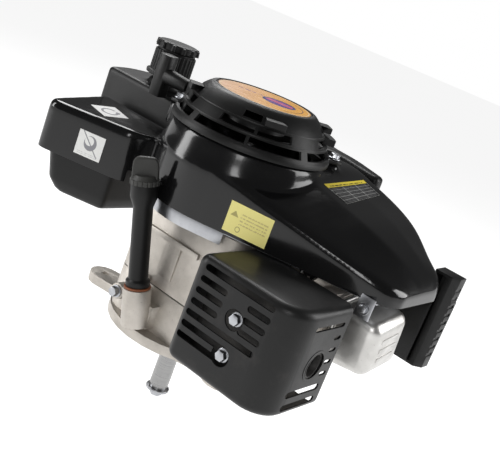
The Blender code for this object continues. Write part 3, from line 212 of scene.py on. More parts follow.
class Finish:
    """One material: its Principled shader and the nodes that drive it."""

    def __init__(self, name):
        self.material = bpy.data.materials.new(name)
        self.material.use_nodes = True
        self.tree = self.material.node_tree
        self.shader = self.tree.nodes["Principled BSDF"]
        self.object_place = self.node("ShaderNodeTexCoord", output="Object")

    def node(self, kind, settings=None, sockets=None, output=0):
        made = self.tree.nodes.new(kind)
        for key, value in (settings or {}).items():
            if key == "stops":
                for index, (place, colour) in enumerate(value):
                    ramp = made.color_ramp.elements
                    stop = ramp[index] if index < 2 else ramp.new(place)
                    stop.position, stop.color = place, colour
            else:
                setattr(made, key, value)
        for key, value in (sockets or {}).items():
            self.feed(made.inputs[key], value)
        return Wire(self, made.outputs[output])

    def feed(self, socket, value):
        if isinstance(value, Wire):
            self.tree.links.new(value.socket, socket)
        elif value is not None:
            socket.default_value = value

    def set(self, **values):
        for key, value in values.items():
            self.feed(self.shader.inputs[key.replace("_", " ")], value)
        return self

    def noise(self, scale, detail=3.0, rough=0.55, place=None):
        sockets = {"Vector": place or self.object_place, "Scale": scale}
        sockets.update({"Detail": detail, "Roughness": rough})
        return self.node("ShaderNodeTexNoise", None, sockets)

    def stretched(self, scale):
        return self.node("ShaderNodeMapping", None, {"Vector": self.object_place, "Scale": scale})

    def ramp(self, factor, *stops):
        return self.node("ShaderNodeValToRGB", {"stops": stops}, {"Fac": factor})

    def blend(self, factor, first, second):
        return self.node("ShaderNodeMix", {"data_type": "RGBA"}, {0: factor, 6: first, 7: second}, 2)

    def bump(self, height, distance, strength=1.0, under=None):
        sockets = {"Height": height, "Distance": distance, "Strength": strength, "Normal": under}
        return self.node("ShaderNodeBump", None, sockets)

    def axes(self, source=None):
        first = self.node("ShaderNodeSeparateXYZ", None, {0: source or self.object_place})
        parts = first.socket.node.outputs
        return first, Wire(self, parts[1]), Wire(self, parts[2])


print("shader sums ready")


# %% [markdown]
# ## Finishes
# Each finish has a colour that drifts, a roughness that isn't even, and a fine relief: orange peel in the
# paint, grain in the mouldings, sand in the castings and turning marks on the shaft.


# %% Paints
def grey(level, tint=0.0):
    return (level, level, level * (1 + tint), 1)


def gloss_paint():
    f = Finish("gloss_black")
    haze = f.ramp(f.noise(14, 4), (0.35, grey(0.1)), (0.75, grey(0.24)))
    specks = f.ramp(f.noise(900, 2), (0.70, grey(0.0)), (0.78, grey(1.0)))
    colour = f.blend(specks * 0.05, grey(0.006, 0.05), grey(0.25))
    peel = f.bump(f.noise(320, 2, 0.4), 0.00005, 0.05)
    ripple = f.bump(f.noise(18, 2, 0.4), 0.0006, 0.08, peel)
    f.set(Base_Color=colour, Roughness=haze, Normal=ripple, Coat_Weight=0.2, Coat_Roughness=0.08)
    f.set(Specular_IOR_Level=0.36)
    return f.material


def satin_paint():
    f = Finish("satin_black")
    wear = f.ramp(f.noise(60, 5), (0.55, grey(0.0)), (0.8, grey(1.0)))
    colour = f.blend(wear * 0.35, grey(0.012), (0.05, 0.045, 0.042, 1))
    rough = f.noise(35, 4) * 0.22 + 0.27
    f.set(Base_Color=colour, Roughness=rough, Normal=f.bump(f.noise(700, 2), 0.0002, 0.25))
    f.set(Specular_IOR_Level=0.3)
    return f.material


def moulded(name, level, rough, grain=0.25, tint=0.0):
    f = Finish(name)
    drift = f.noise(18, 3)
    colour = f.blend(drift, grey(level * 0.8, tint), grey(level * 1.25, tint))
    cells = f.node("ShaderNodeTexVoronoi", None, {"Vector": f.object_place, "Scale": 1300.0})
    relief = f.bump(cells, 0.00025, grain)
    f.set(Base_Color=colour, Roughness=f.noise(30, 4) * 0.2 + rough, Normal=relief)
    f.set(Specular_IOR_Level=0.3)
    return f.material


def cast_metal(name, dark, light, rough, metal=0.85, sand=0.5):
    f = Finish(name)
    cloud = f.noise(26, 5, 0.6)
    colour = f.ramp(cloud, (0.3, dark), (0.7, light))
    pits = f.ramp(f.noise(520, 3), (0.24, grey(0.3)), (0.34, grey(1.0)))
    colour = f.blend(1 - pits, colour, (dark[0] * 0.5, dark[1] * 0.5, dark[2] * 0.48, 1))
    relief = f.bump(f.noise(650, 4, 0.7), 0.0004, sand)
    relief = f.bump(f.noise(90, 3), 0.0009, 0.25, relief)
    f.set(Base_Color=colour, Roughness=f.noise(80, 4) * 0.25 + rough, Metallic=metal, Normal=relief)
    return f.material


def plated(name, colour, rough=0.2):
    f = Finish(name)
    dim = (colour[0] * 0.72, colour[1] * 0.72, colour[2] * 0.74, 1)
    shade = f.blend(f.ramp(f.noise(55, 4), (0.4, grey(0.0)), (0.75, grey(1.0))), colour, dim)
    f.set(Base_Color=shade, Roughness=f.noise(120, 3) * 0.25 + rough, Metallic=1.0)
    f.set(Normal=f.bump(f.noise(500, 2), 0.0001, 0.2))
    return f.material


def machined():
    f = Finish("steel")
    rings = f.noise(1.0, 2, 0.5, f.stretched((20, 20, 2600)))
    f.set(Base_Color=f.blend(rings, grey(0.24), grey(0.44)), Roughness=rings * 0.2 + 0.2, Metallic=1.0)
    f.set(Normal=f.bump(rings, 0.0001, 0.35))
    return f.material


def soft(name, colour, rough=0.8):
    f = Finish(name)
    shade = f.blend(f.noise(300, 4), colour, tuple(c * 0.6 for c in colour[:3]) + (1,))
    fuzz = f.bump(f.noise(900, 4), 0.0004, 0.5)
    f.set(Base_Color=shade, Roughness=f.noise(90, 3) * 0.15 + rough, Normal=fuzz)
    return f.material


def braid():
    f = Finish("cord")
    x, _, z = f.axes()
    strands = (x * 900).wave() * (z * 2500).wave() * 0.5 + 0.5
    f.set(Base_Color=f.blend(strands, grey(0.42), grey(0.7)), Roughness=0.85)
    f.set(Normal=f.bump(strands, 0.0003, 0.6))
    return f.material


FINISHES = {
    "gloss_black": gloss_paint(),
    "satin_black": satin_paint(),
    "plastic_black": moulded("plastic_black", 0.006, 0.32),
    "cast_aluminium": cast_metal("cast_aluminium", (0.44, 0.41, 0.37, 1), (0.64, 0.60, 0.55, 1), 0.36),
    "zinc": plated("zinc", (0.50, 0.51, 0.53, 1)),
    "steel": machined(),
    "cast_iron": cast_metal("cast_iron", (0.03, 0.03, 0.03, 1), (0.08, 0.075, 0.07, 1), 0.45, 0.7),
    "grey_plastic": moulded("grey_plastic", 0.045, 0.35, 0.25, -0.06),
    "rubber": soft("rubber", (0.015, 0.015, 0.015, 1), 0.7),
    "gasket": soft("gasket", (0.12, 0.11, 0.1, 1), 0.8),
    "foam": soft("foam", (0.7, 0.62, 0.4, 1), 0.9),
    "ceramic": moulded("ceramic", 0.75, 0.1, 0.05),
    "cord": braid(),
}
BODIES = frame["record"]["behaviour"]["bodies"]
BODY_OF = {node: body for body, nodes in BODIES.items() for node in nodes}
SLOT_OF = {row["node"]: row["material_slot"] for row in frame["record"]["subparts"]}
print("finishes:", ", ".join(FINISHES))


# %% [markdown]
# ## Modelling helpers
# Every piece starts as a primitive or as rings of points, and is finished with modifiers that are applied
# at once. `place` is the last step: it names the piece, gives its finish, and ties it to its body.


# %% Modelling helpers
def only(obj):
    """Leaves this object alone selected and active."""
    bpy.ops.object.select_all(action="DESELECT")
    obj.select_set(True)
    bpy.context.view_layer.objects.active = obj


def settle(obj):
    """Moves an object's place, turn and size into its mesh."""
    only(obj)
    bpy.ops.object.transform_apply(location=True, rotation=True, scale=True)
    return obj


def modify(obj, kind, **settings):
    """Adds one modifier, sets it and applies it."""
    only(obj)
    modifier = obj.modifiers.new(kind.lower(), kind)
    for key, value in settings.items():
        setattr(modifier, key, value)
    bpy.ops.object.modifier_apply(modifier=modifier.name)
    return obj


def cut(obj, *cutters, operation="DIFFERENCE"):
    """Takes each cutter's solid away from the object, and removes the cutter."""
    for cutter in cutters:
        modify(obj, "BOOLEAN", object=cutter, operation=operation, solver="EXACT")
        bpy.data.objects.remove(cutter, do_unlink=True)
    return obj


def fuse(obj, *others):
    return cut(obj, *others, operation="UNION")


def merge_into(obj, *others):
    """Puts several objects' meshes in one object, still overlapping."""
    only(obj)
    for other in others:
        other.select_set(True)
    bpy.ops.object.join()
    return obj


def bevel(obj, width, segments=3, angle=35):
    """Rounds the edges that bend by more than the angle, in degrees."""
    limit = math.radians(angle)
    return modify(
        obj, "BEVEL", width=width * MM, segments=segments, limit_method="ANGLE", angle_limit=limit
    )


def rod(start, end, radius, end_radius=None, sides=48):
    """A cylinder or cone between two points, in millimetres."""
    start, end = Vector(start) * MM, Vector(end) * MM
    along = end - start
    bpy.ops.object.select_all(action="DESELECT")
    bpy.ops.mesh.primitive_cone_add(
        vertices=sides,
        radius1=radius * MM,
        radius2=(radius if end_radius is None else end_radius) * MM,
        depth=along.length,
        location=(start + end) / 2,
        rotation=along.to_track_quat("Z", "Y").to_euler(),
    )
    return settle(bpy.context.object)


def box(low, high):
    """A box between two corners, in millimetres."""
    low, high = Vector(low) * MM, Vector(high) * MM
    bpy.ops.object.select_all(action="DESELECT")
    bpy.ops.mesh.primitive_cube_add(size=1, location=(low + high) / 2)
    bpy.context.object.scale = high - low
    return settle(bpy.context.object)


def skin(rings, closed=False):
    """A solid through rings of points with the same count, in millimetres."""
    count = len(rings[0])
    points = [Vector(p) * MM for ring in rings for p in ring]
    faces = []
    last = len(rings) if closed else len(rings) - 1
    for r in range(last):
        low, high = r * count, ((r + 1) % len(rings)) * count
        for i in range(count):
            j = (i + 1) % count
            faces.append((low + i, low + j, high + j, high + i))
    if not closed:
        faces.append(tuple(range(count))[::-1])
        faces.append(tuple(range((len(rings) - 1) * count, len(rings) * count)))
    mesh = bpy.data.meshes.new("skin")
    mesh.from_pydata(points, [], faces)
    obj = bpy.data.objects.new("skin", mesh)
    bpy.context.scene.collection.objects.link(obj)
    only(obj)
    bpy.ops.object.mode_set(mode="EDIT")
    bpy.ops.mesh.select_all(action="SELECT")
    bpy.ops.mesh.normals_make_consistent(inside=False)
    bpy.ops.object.mode_set(mode="OBJECT")
    return obj


def polar(radius, degrees):
    """The x and y of a point on a circle round the origin."""
    return radius * math.cos(math.radians(degrees)), radius * math.sin(math.radians(degrees))


def turned_solid(profile, sides=96, centre=(0, 0)):
    """A solid of circles up the Z axis, from (radius, height) pairs."""
    rings = []
    for radius, z in profile:
        ring = [polar(radius, 360 * i / sides) for i in range(sides)]
        rings.append([(centre[0] + x, centre[1] + y, z) for x, y in ring])
    return skin(rings)


def prism(outline, z0, z1):
    """An upright solid with one outline from bottom to top."""
    return skin([[(x, y, z0) for x, y in outline], [(x, y, z1) for x, y in outline]])


def smooth(obj, angle=40):
    only(obj)
    bpy.ops.object.shade_smooth_by_angle(angle=math.radians(angle))
    return obj


def soften(obj, voxel, rounds):
    """Turns overlapping solids into one skin and rounds every edge, as pressed or moulded work has."""
    modify(obj, "REMESH", mode="VOXEL", voxel_size=voxel * MM)
    return modify(obj, "SMOOTH", factor=0.5, iterations=rounds)


def place(obj, name, body, slot, *nodes, finish=None, angle=40):
    """Names a finished piece, gives its finish, and puts it on its body in place of the nodes."""
    smooth(obj, angle)
    obj.name = name
    obj.data.name = name
    obj.data.materials.clear()
    obj.data.materials.append(finish or FINISHES[slot])
    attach(obj, body)
    if nodes:
        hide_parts(*nodes)
    return obj


def node_box(name):
    """A node's box in millimetres."""
    low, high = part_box(name)
    return Vector(low) / MM, Vector(high) / MM


# %% [markdown]
# ## Nodes that keep their shape
# The castings, shafts and fasteners have the right shape already. A copy of each is merged, its flat faces
# are joined again, its edges are eased with a small bevel, and it takes the node's place.


# %% Ease the edges of kept nodes
EASED = {
    "oil_sump": 0.9,
    "crankcase": 0.9,
    "cylinder_head": 0.7,
    "crankshaft_lower": 0.5,
    "crankshaft_upper": 0.5,
    "shaft_washer": 0.3,
    "shaft_bolt": 0.4,
    "lower_shroud": 0.3,
    "oil_filler_tube": 0.6,
    "filler_tube_seal": 0.4,
    "tube_clamp_bolt": 0.4,
    "guard_nut_upper": 0.4,
    "guard_nut_lower": 0.4,
    "carburetor": 0.8,
    "float_bowl": 0.8,
    "throttle_lever": 0.3,
    "choke_lever": 0.3,
    "air_cleaner_base": 0.6,
    "recoil_bolt_left": 0.4,
    "recoil_bolt_right": 0.4,
    "muffler": 2.0,
    "spark_plug": 0.4,
    "spark_plug_cap": 1.0,
    "starter_handle": 1.6,
    "head_gasket": 0.1,
    "sump_gasket": 0.1,
    "flywheel": 0.6,
    "cooling_fan": 0.3,
    "starter_reel": 0.6,
    "starter_cup": 0.3,
    "ignition_coil": 1.0,
}
SPECIAL = {"filler_tube_seal": soft("brown_rubber", (0.30, 0.09, 0.03, 1), 0.5)}


def merged_copy(name):
    """A new object with the node's mesh, its doubled points merged and its flat faces joined."""
    source = frame["nodes"][name]
    copy = bpy.data.objects.new(name + "_eased", source.data.copy())
    bpy.context.scene.collection.objects.link(copy)
    only(copy)
    bpy.ops.object.mode_set(mode="EDIT")
    bpy.ops.mesh.select_all(action="SELECT")
    bpy.ops.mesh.remove_doubles(threshold=0.00001)
    bpy.ops.mesh.dissolve_limited(angle_limit=math.radians(0.5))
    bpy.ops.object.mode_set(mode="OBJECT")
    return copy


def eased_copy(name, width):
    copy = bevel(merged_copy(name), width, 2, 32)
    body, slot = BODY_OF[name], SLOT_OF[name]
    return place(copy, name + "_eased", body, slot, name, finish=SPECIAL.get(name), angle=35)


for node_name, edge in EASED.items():
    eased_copy(node_name, edge)
print("eased", len(EASED), "nodes")

# %% [markdown]
# ## The fan cover
# The cover is drawn from one sheet of steel: a round drum over the flywheel, a hood that falls along the
# cylinder, and a lobe over the tank. The three are modelled apart, run together into one skin and smoothed,
# which rounds each meeting line as the press does. Then the bottom is opened and the sheet gets its
# thickness.

# %% Fan cover
HOOD_END = node_box("fan_cover")[1].x
COVER_R = 92.0
SKIRT_Z, SKIRT_END_X = 154.3, -93
LOBE_Z = 140
HOLE_Z, HOLE_R = 215, 70
EAR_R, EAR_Z, EAR_ANGLES = 100, 235.8, (187, 52)
WALL_TURN = 19.4
SLOPE = math.tan(math.radians(WALL_TURN))
TOUCH = polar(COVER_R, 270 + WALL_TURN)


def wall_y(x):
    """Where the hood's straight wall is, which leaves the drum at a tangent."""
    return TOUCH[1] + (x - TOUCH[0]) * SLOPE


# Sections along the hood: x, then y and z of the wall's top, of the ridge and of the far edge.
HOOD = (
    (-20, -70, 200, 0, 224, 70, 220),
    (7, -86, 209, 4, 234, 126, 231),
    (TOUCH[0], wall_y(TOUCH[0]), 209, 6, 235, 141, 232),
    (60, wall_y(60), 204, 8, 233, 149, 230),
    (85, wall_y(85), 198, 9, 224, 151, 224),
    (128, wall_y(128), 189, 12, 215, 149, 213),
    (165, wall_y(165), 181, 15, 207, 132, 204),
    (200, wall_y(200), 174, 26, 193, 111, 189),
    (HOOD_END - 8, wall_y(HOOD_END - 8) + 4, 168, 35, 178, 98, 178),
    (HOOD_END + 1, 4, 162, 40, 168, 84, 168),
)


def curve_through(rows, steps):
    """Rows of numbers between the given ones, on a smooth curve through all of them."""
    found = []
    for i in range(len(rows) - 1):
        a, b, c, d = rows[max(i - 1, 0)], rows[i], rows[i + 1], rows[min(i + 2, len(rows) - 1)]
        for k in range(steps):
            t = k / steps
            row = []
            for p, q, r, s in zip(a, b, c, d):
                row.append(
                    q + 0.5 * t * (r - p + t * (2 * p - 5 * q + 4 * r - s + t * (3 * (q - r) + s - p)))
                )
            found.append(row)
    found.append(rows[-1])
    return found


def hood_solid():
    rings = []
    for x, y0, z0, yc, zc, y1, z1 in curve_through(HOOD, 4):
        low = SKIRT_Z - 30
        ring = [(x, y0, low), (x, y0, z0), (x, y0 + 5, z0 + 5), (x, yc, zc), (x, (yc + y1) / 2, zc + 0.5)]
        ring += [(x, y1 - 13, z1 + 1), (x, y1 - 4, z1 - 2.5), (x, y1, z1 - 9), (x, y1, low)]
        rings.append(ring)
    return skin(rings)


def lobe_solid():
    outline = [(-100, -74), (-186, -111), (-198, -106), (-209, -12), (-60, -12), (-80, -46)]
    lobe = skin(
        [
            [(x, y, 130) for x, y in outline],
            [(x, y, 196 if y < -50 else 203) for x, y in outline],
        ]
    )
    bevel(lobe, 13, 6, 30)
    return lobe


def fan_cover():
    wall = [(COVER_R, SKIRT_Z - 20), (COVER_R, 206), (COVER_R - 3, 218), (COVER_R - 6, 236)]
    drum = turned_solid(wall)
    merge_into(drum, hood_solid(), lobe_solid())
    for angle in EAR_ANGLES:
        x, y = polar(EAR_R, angle)
        boss = rod((x, y, 210), (x, y, EAR_Z), 9)
        mid = polar(EAR_R - 10, angle)
        merge_into(drum, boss, rod((*mid, 205), (*mid, EAR_Z), 9))
    soften(drum, 1.7, 34)
    reach = 400
    below_skirt = box((SKIRT_END_X, -reach, 90), (reach, reach, SKIRT_Z))
    below_lobe = box((-reach, -reach, 90), (reach, reach, LOBE_Z))
    cut(drum, below_skirt, below_lobe)
    cut(drum, rod((0, 0, HOLE_Z), (0, 0, 260), HOLE_R, sides=96))
    only(drum)
    bpy.ops.object.mode_set(mode="EDIT")
    bpy.ops.mesh.select_all(action="DESELECT")
    bpy.ops.object.mode_set(mode="OBJECT")
    for face in drum.data.polygons:
        x, z = face.center.x / MM, face.center.z / MM
        on_edge = any(abs(z - edge) < 0.2 for edge in (SKIRT_Z, LOBE_Z, HOLE_Z))
        faces_down = face.normal.z < -0.95 and on_edge
        face.select = faces_down or (z < SKIRT_Z and abs(x - SKIRT_END_X) < 0.3)
    bpy.ops.object.mode_set(mode="EDIT")
    bpy.ops.mesh.delete(type="FACE")
    bpy.ops.object.mode_set(mode="OBJECT")
    modify(drum, "SOLIDIFY", thickness=1.8 * MM, offset=-1)
    return place(drum, "cover_skin", "housing", "gloss_black", "fan_cover", angle=50)


cover = fan_cover()
print("fan cover:", len(cover.data.polygons), "faces")

# %% [markdown]
# ## The fuel tank
# A blow-moulded tank has no sharp edge anywhere. Its chamber under the lobe and its long arm behind the
# starter are joined and smoothed in the same way as the cover.

# %% Fuel tank
TANK_LOW = node_box("fuel_tank")[0]
CAP_LOW, CAP_HIGH = node_box("fuel_cap")
CAP_CENTRE = ((CAP_LOW.x + CAP_HIGH.x) / 2, (CAP_LOW.y + CAP_HIGH.y) / 2)
TANK_TOP = CAP_LOW.z - 13


def fuel_tank():
    chamber = [(-112, -66), (-182, -97), (-194, -91), (-202, 24), (-112, 24)]
    middle = Vector((-140, -40))
    rings = []
    narrowing = ((TANK_LOW.z, 0.34), (TANK_LOW.z + 4, 0.24), (106, 0.12), (142, 0.0), (188, 0.0))
    for z, shrink in narrowing:
        rings.append([(*(Vector(p) + (middle - Vector(p)) * shrink), z) for p in chamber])
    bulb = bevel(skin(rings), 8, 4, 30)
    outer = [(TANK_LOW.x + 5, 0), (TANK_LOW.x, 50), (-210, 112), (-145, 158)]
    outer += [(-40, 182), (40, 182), (84, 174)]
    inner = [(84, 156), (50, 155), (20, 153), (-8, 140), (-36, 106), (-72, 84), (-92, 44), (-102, 0)]
    outline = curve_through(outer, 5) + curve_through(inner, 5)
    top = [(x, y, TANK_TOP - max(0, x - 20) * 0.08) for x, y in outline]
    arm = skin([[(x, y, 165) for x, y in outline], top])
    bevel(arm, 6, 3, 25)
    wedge = prism([(-204, 0), (-204, 70), (-112, 70), (-112, 0)], 120, 190)
    neck = rod((*CAP_CENTRE, TANK_TOP - 6), (*CAP_CENTRE, TANK_TOP + 9), 26, 20)
    merge_into(bulb, arm, wedge, neck)
    soften(bulb, 2.4, 5)
    pipe = rod((*CAP_CENTRE, TANK_TOP), (*CAP_CENTRE, CAP_HIGH.z - 14), 17)
    for i in range(3):
        z = TANK_TOP + 10.5 + i * 1.4
        fuse(pipe, rod((*CAP_CENTRE, z), (*CAP_CENTRE, z + 0.7), 18.2))
    fuse(bulb, pipe)
    cut(bulb, rod((*CAP_CENTRE, TANK_TOP - 25), (*CAP_CENTRE, CAP_HIGH.z), 14))
    return place(bulb, "tank_skin", "housing", "plastic_black", "fuel_tank", angle=50)


tank = fuel_tank()
print("fuel tank:", len(tank.data.polygons), "faces")

# %% [markdown]
# ## The fuel cap
# The cap's side has upright ribs for the hand, and its top edge has twelve lugs. Each is a thin rod set
# round the cap, and a fine voxel skin runs them all into it, which rounds their roots as a mould does.


# %% Fuel cap
def fuel_cap():
    x, y = CAP_CENTRE
    low, high = CAP_LOW.z, CAP_HIGH.z
    profile = [(27.6, low), (28, low + 1), (28, low + 4), (25, low + 5.5), (24, low + 9), (24, high - 12)]
    profile += [(22.5, high - 10), (24.3, high - 8), (24.3, high - 2), (22.8, high - 0.4)]
    profile += [(16, high), (0.01, high)]
    cap = turned_solid(profile, 96, (x, y))
    for i in range(30):
        px, py = polar(24.0, 12 * i)
        rib = rod((x + px, y + py, low + 7), (x + px, y + py, high - 12.5), 1.15, sides=10)
        merge_into(cap, rib)
    for i in range(12):
        px, py = polar(24.6, 30 * i)
        lug = rod((x + px, y + py, high - 8.5), (x + px, y + py, high - 1.2), 2.6, 2.0, sides=14)
        merge_into(cap, lug)
    modify(cap, "REMESH", mode="VOXEL", voxel_size=0.45 * MM)
    modify(cap, "SMOOTH", factor=0.5, iterations=2)
    cut(cap, rod((x, y, low - 1), (x, y, high - 12), 18.5))
    return place(cap, "filler_cap_ribbed", "filler_cap", "plastic_black", "fuel_cap")


cap = fuel_cap()
print("fuel cap:", len(cap.data.polygons), "faces")

# %% [markdown]
# ## The starter housing
# A shallow dome over the rope reel. Cooling air goes in through three rows of curved slots on three of its
# sides, and each slot is cut by a bar bent to an arc, since a straight bar would leave uneven ribs.

# %% Starter housing
HOUSING_LOW, HOUSING_HIGH = node_box("recoil_housing")
DOME_Z0, DOME_Z1 = HOUSING_LOW.z, HOUSING_HIGH.z
BADGE_R = 54.0
# Each row of slots: radius, height, middle and half width in degrees, and half height.
SLOT_ROWS = ((83, 12.2, 303, 42, 3.9), (76.5, 23.5, 307, 29, 3.7), (69, 34.4, 310, 17, 3.1))
SLOT_RIB = 1.2
RIM = ((52, -2), (58, -2), (57.6, 0.2), (56.6, 0.5), (52, 0.5))


def dome_profile(inset):
    z0, z1 = DOME_Z0, DOME_Z1
    points = [(89, z0), (89.2, z0 + 4), (88, z0 + 6), (86.4, z0 + 9), (80.6, z0 + 18.6), (76, z0 + 26)]
    points += [(71.8, z0 + 32), (67.8, z0 + 37), (64, z0 + 40.6), (61.5, z0 + 42.8)]
    points += [(59, z1 - 0.3), (57.5, z1)]
    return [(r - inset, z - (inset if i else 0)) for i, (r, z) in enumerate(points)]


def arc_slot(radius, z, middle, half, thick, depth=12, steps=14):
    """A bar bent to an arc that cuts one slot."""
    near, far = radius - depth, radius + depth
    rings = []
    for i in range(steps + 1):
        angle = middle + half * (-1 + 2 * i / steps)
        corners = ((near, -thick), (far, -thick), (far, thick), (near, thick))
        rings.append([(*polar(r, angle), z + dz) for r, dz in corners])
    return skin(rings)


def ear_outline(angle):
    """A round end on a straight root, before it is moved out to its screw."""
    points = [polar(10, angle - 90 + 180 * i / 12) for i in range(13)]
    for side in (1, -1):
        a, b = polar(14, angle + 180)
        c, d = polar(12 * side, angle + 90)
        points.append((a + c, b + d))
    return points


def starter_housing():
    dome = turned_solid(dome_profile(0), 128)
    cut(dome, turned_solid(dome_profile(2.4), 96))
    for z, r in ((DOME_Z0 + 18.1, 81.0), (DOME_Z0 + 29.2, 73.8)):
        section = [(r - 3.2, z - 0.7), (r + 0.5, z - 0.5), (r + 0.2, z + 0.5), (r - 3.2, z + 0.7)]
        bead = turned_solid(section)
        cut(bead, rod((0, 0, z - 3), (0, 0, z + 3), r - 2.9, sides=96))
        fuse(dome, bead)
    for quarter in (0, 1, 3):
        for radius, z, centre, half, thick in SLOT_ROWS:
            share = (half - SLOT_RIB) / 2
            for side in (-1, 1):
                middle = centre + quarter * 90 + side * (SLOT_RIB + share)
                cut(dome, arc_slot(radius, DOME_Z0 + z, middle, share, thick))
    fuse(dome, turned_solid([(r, DOME_Z1 + rise) for r, rise in RIM]))
    cut(dome, rod((0, 0, DOME_Z1 - 1.2), (0, 0, DOME_Z1 + 3), BADGE_R + 0.6, sides=96))
    for angle in EAR_ANGLES:
        x, y = polar(EAR_R, angle)
        ear = prism([(x + a, y + b) for a, b in ear_outline(angle)], DOME_Z0, DOME_Z0 + 4)
        fuse(dome, bevel(ear, 1.0, 2))
        cut(dome, rod((x, y, DOME_Z0 - 1), (x, y, DOME_Z0 + 6), 3.4))
    return dome


def rope_guide(dome):
    """The spout that the rope leaves through, and the duct behind it."""
    low, high = node_box("starter_rope")
    y, z = (low.y + high.y) / 2, (low.z + high.z) / 2
    spout = box((-90, y - 13, DOME_Z0 + 2), (-66, y + 13, z + 10))
    bevel(spout, 5, 4)
    fuse(dome, spout)
    z0, z1 = DOME_Z0 + 3, z + 9
    duct = skin(
        [
            [(-84, y - 15, z0), (-84, y + 8, z0), (-84, y + 8, z1), (-84, y - 15, z1)],
            [(-47, y - 56, z0), (-47, y - 4, z0), (-47, y - 4, z1 + 4), (-47, y - 44, z1 + 4)],
        ]
    )
    fuse(dome, bevel(duct, 3.5, 3, 20))
    eyelet = rod((-92, y, z), (-80, y, z), 9.5, 11)
    fuse(dome, bevel(eyelet, 1.2, 3))
    cut(dome, rod((-93, y, z), (-60, y, z), 3.6))
    return cut(dome, box((-88, y - 10, DOME_Z0 - 1), (-62, y + 10, z - 4)))


housing = rope_guide(starter_housing())
bevel(housing, 0.35, 2, 50)
place(housing, "starter_dome", "housing", "plastic_black", "recoil_housing")
print("starter housing:", len(housing.data.polygons), "faces")


# %% [markdown]
# ## The badge on the starter
# A printed disc: gold that turns to orange, with a small striped disc, a few strokes that stand for print
# and a thin ring. A picture could be wrapped on it, but the pattern stays sharp when it is worked out from
# each point's distance to the disc's centre.


# %% Badge
def badge_finish():
    f = Finish("badge")
    x, y, _ = f.axes()
    radius = ((x * x + y * y) ** 0.5) * (1 / (BADGE_R * MM))
    across, along = x * 0.84 + y * 0.54, y * 0.84 - x * 0.54
    gold = f.ramp(across * 9 + 0.5, (0.05, (0.95, 0.62, 0.42, 1)), (0.75, (0.90, 0.44, 0.06, 1)))
    disc = (((across - 0.016) ** 2 + along**2) ** 0.5) * (1 / 0.019)
    stripes = (along * 260 + across * 60).wave().above(0.0)
    emblem = f.blend(stripes, (0.16, 0.05, 0.30, 1), (0.62, 0.12, 0.26, 1))
    emblem = f.blend(disc.above(0.82), emblem, (0.05, 0.06, 0.22, 1))
    colour = f.blend(disc.below(1.0), gold, emblem)
    word = (across + 0.017).size().below(0.014).both((along - 0.010).size().below(0.0028))
    word = word.both(f.noise(1.0, 0, 0.5, f.stretched((420, 420, 1))).above(0.47))
    colour = f.blend(word * 0.8, colour, (0.30, 0.16, 0.30, 1))
    arc = (radius - 0.80).size().below(0.010).both(across.above(0.024))
    colour = f.blend(arc, colour, (0.12, 0.05, 0.05, 1))
    ring = (radius - 0.93).size().below(0.012)
    colour = f.blend(ring, colour, (0.95, 0.72, 0.45, 1))
    edge = radius.above(0.965)
    colour = f.blend(edge, colour, (0.05, 0.03, 0.02, 1))
    film = f.bump(f.noise(200, 2), 0.0001, 0.1)
    f.set(Base_Color=colour, Roughness=f.noise(60, 3) * 0.15 + 0.2, Normal=film)
    return f.material


BADGE_LOW, BADGE_HIGH = node_box("starter_badge")
badge = turned_solid(
    [
        (BADGE_R - 0.2, BADGE_LOW.z),
        (BADGE_R, BADGE_LOW.z + 0.3),
        (BADGE_R - 0.4, BADGE_HIGH.z),
        (BADGE_R * 0.6, BADGE_HIGH.z + 0.25),
        (0.01, BADGE_HIGH.z + 0.35),
    ],
    128,
)
place(badge, "badge_disc", "housing", "badge", "starter_badge", finish=badge_finish())
print("badge:", round(BADGE_R * 2), "mm across")

# %% [markdown]
# ## The silencer guard
# A pressed box with soft corners round the silencer. Its slots are cut by bars with round ends, two wide
# holes let the nuts through, and a lipped hole in its side lets the exhaust out. Cutting a thin shell leaves
# true sheet edges in every hole, which a bump would not.

# %% Silencer guard
GUARD_LOW, GUARD_HIGH = node_box("muffler_guard")
GUARD_GROWS_X, GUARD_GROWS_Y = 16.0, 6.0
SLOT_PITCH = 12.2
OUTLET_Y, OUTLET_Z, OUTLET_R = -80, 92, 14
NUTS = [node_box(name) for name in ("guard_nut_upper", "guard_nut_lower")]


def capsule_y(x0, x1, z, half, y0, y1):
    """A bar along X with round ends that cuts through a wall facing Y."""
    bar = box((x0 + half, y0, z - half), (x1 - half, y1, z + half))
    for x in (x0 + half, x1 - half):
        fuse(bar, rod((x, y0, z), (x, y1, z), half, sides=24))
    return bar


def capsule_x(y0, y1, z, half, x0, x1):
    """The same bar along Y, for a wall facing X."""
    bar = box((x0, y0 + half, z - half), (x1, y1 - half, z + half))
    for y in (y0 + half, y1 - half):
        fuse(bar, rod((x0, y, z), (x1, y, z), half, sides=24))
    return bar


def rounded_plan(low, high, left, right):
    """A rectangle whose two front corners are arcs with their own radii."""
    points = [(high.x, high.y + 25), (low.x, high.y + 25)]
    for centre, radius, start in (
        ((low.x + left, low.y + left), left, 180),
        ((high.x - right, low.y + right), right, 270),
    ):
        for i in range(9):
            x, y = polar(radius, start + 90 * i / 8)
            points.append((centre[0] + x, centre[1] + y))
    return points


def outlet_rod(x0, x1, radius):
    return rod((x0, OUTLET_Y, OUTLET_Z), (x1, OUTLET_Y, OUTLET_Z), radius)


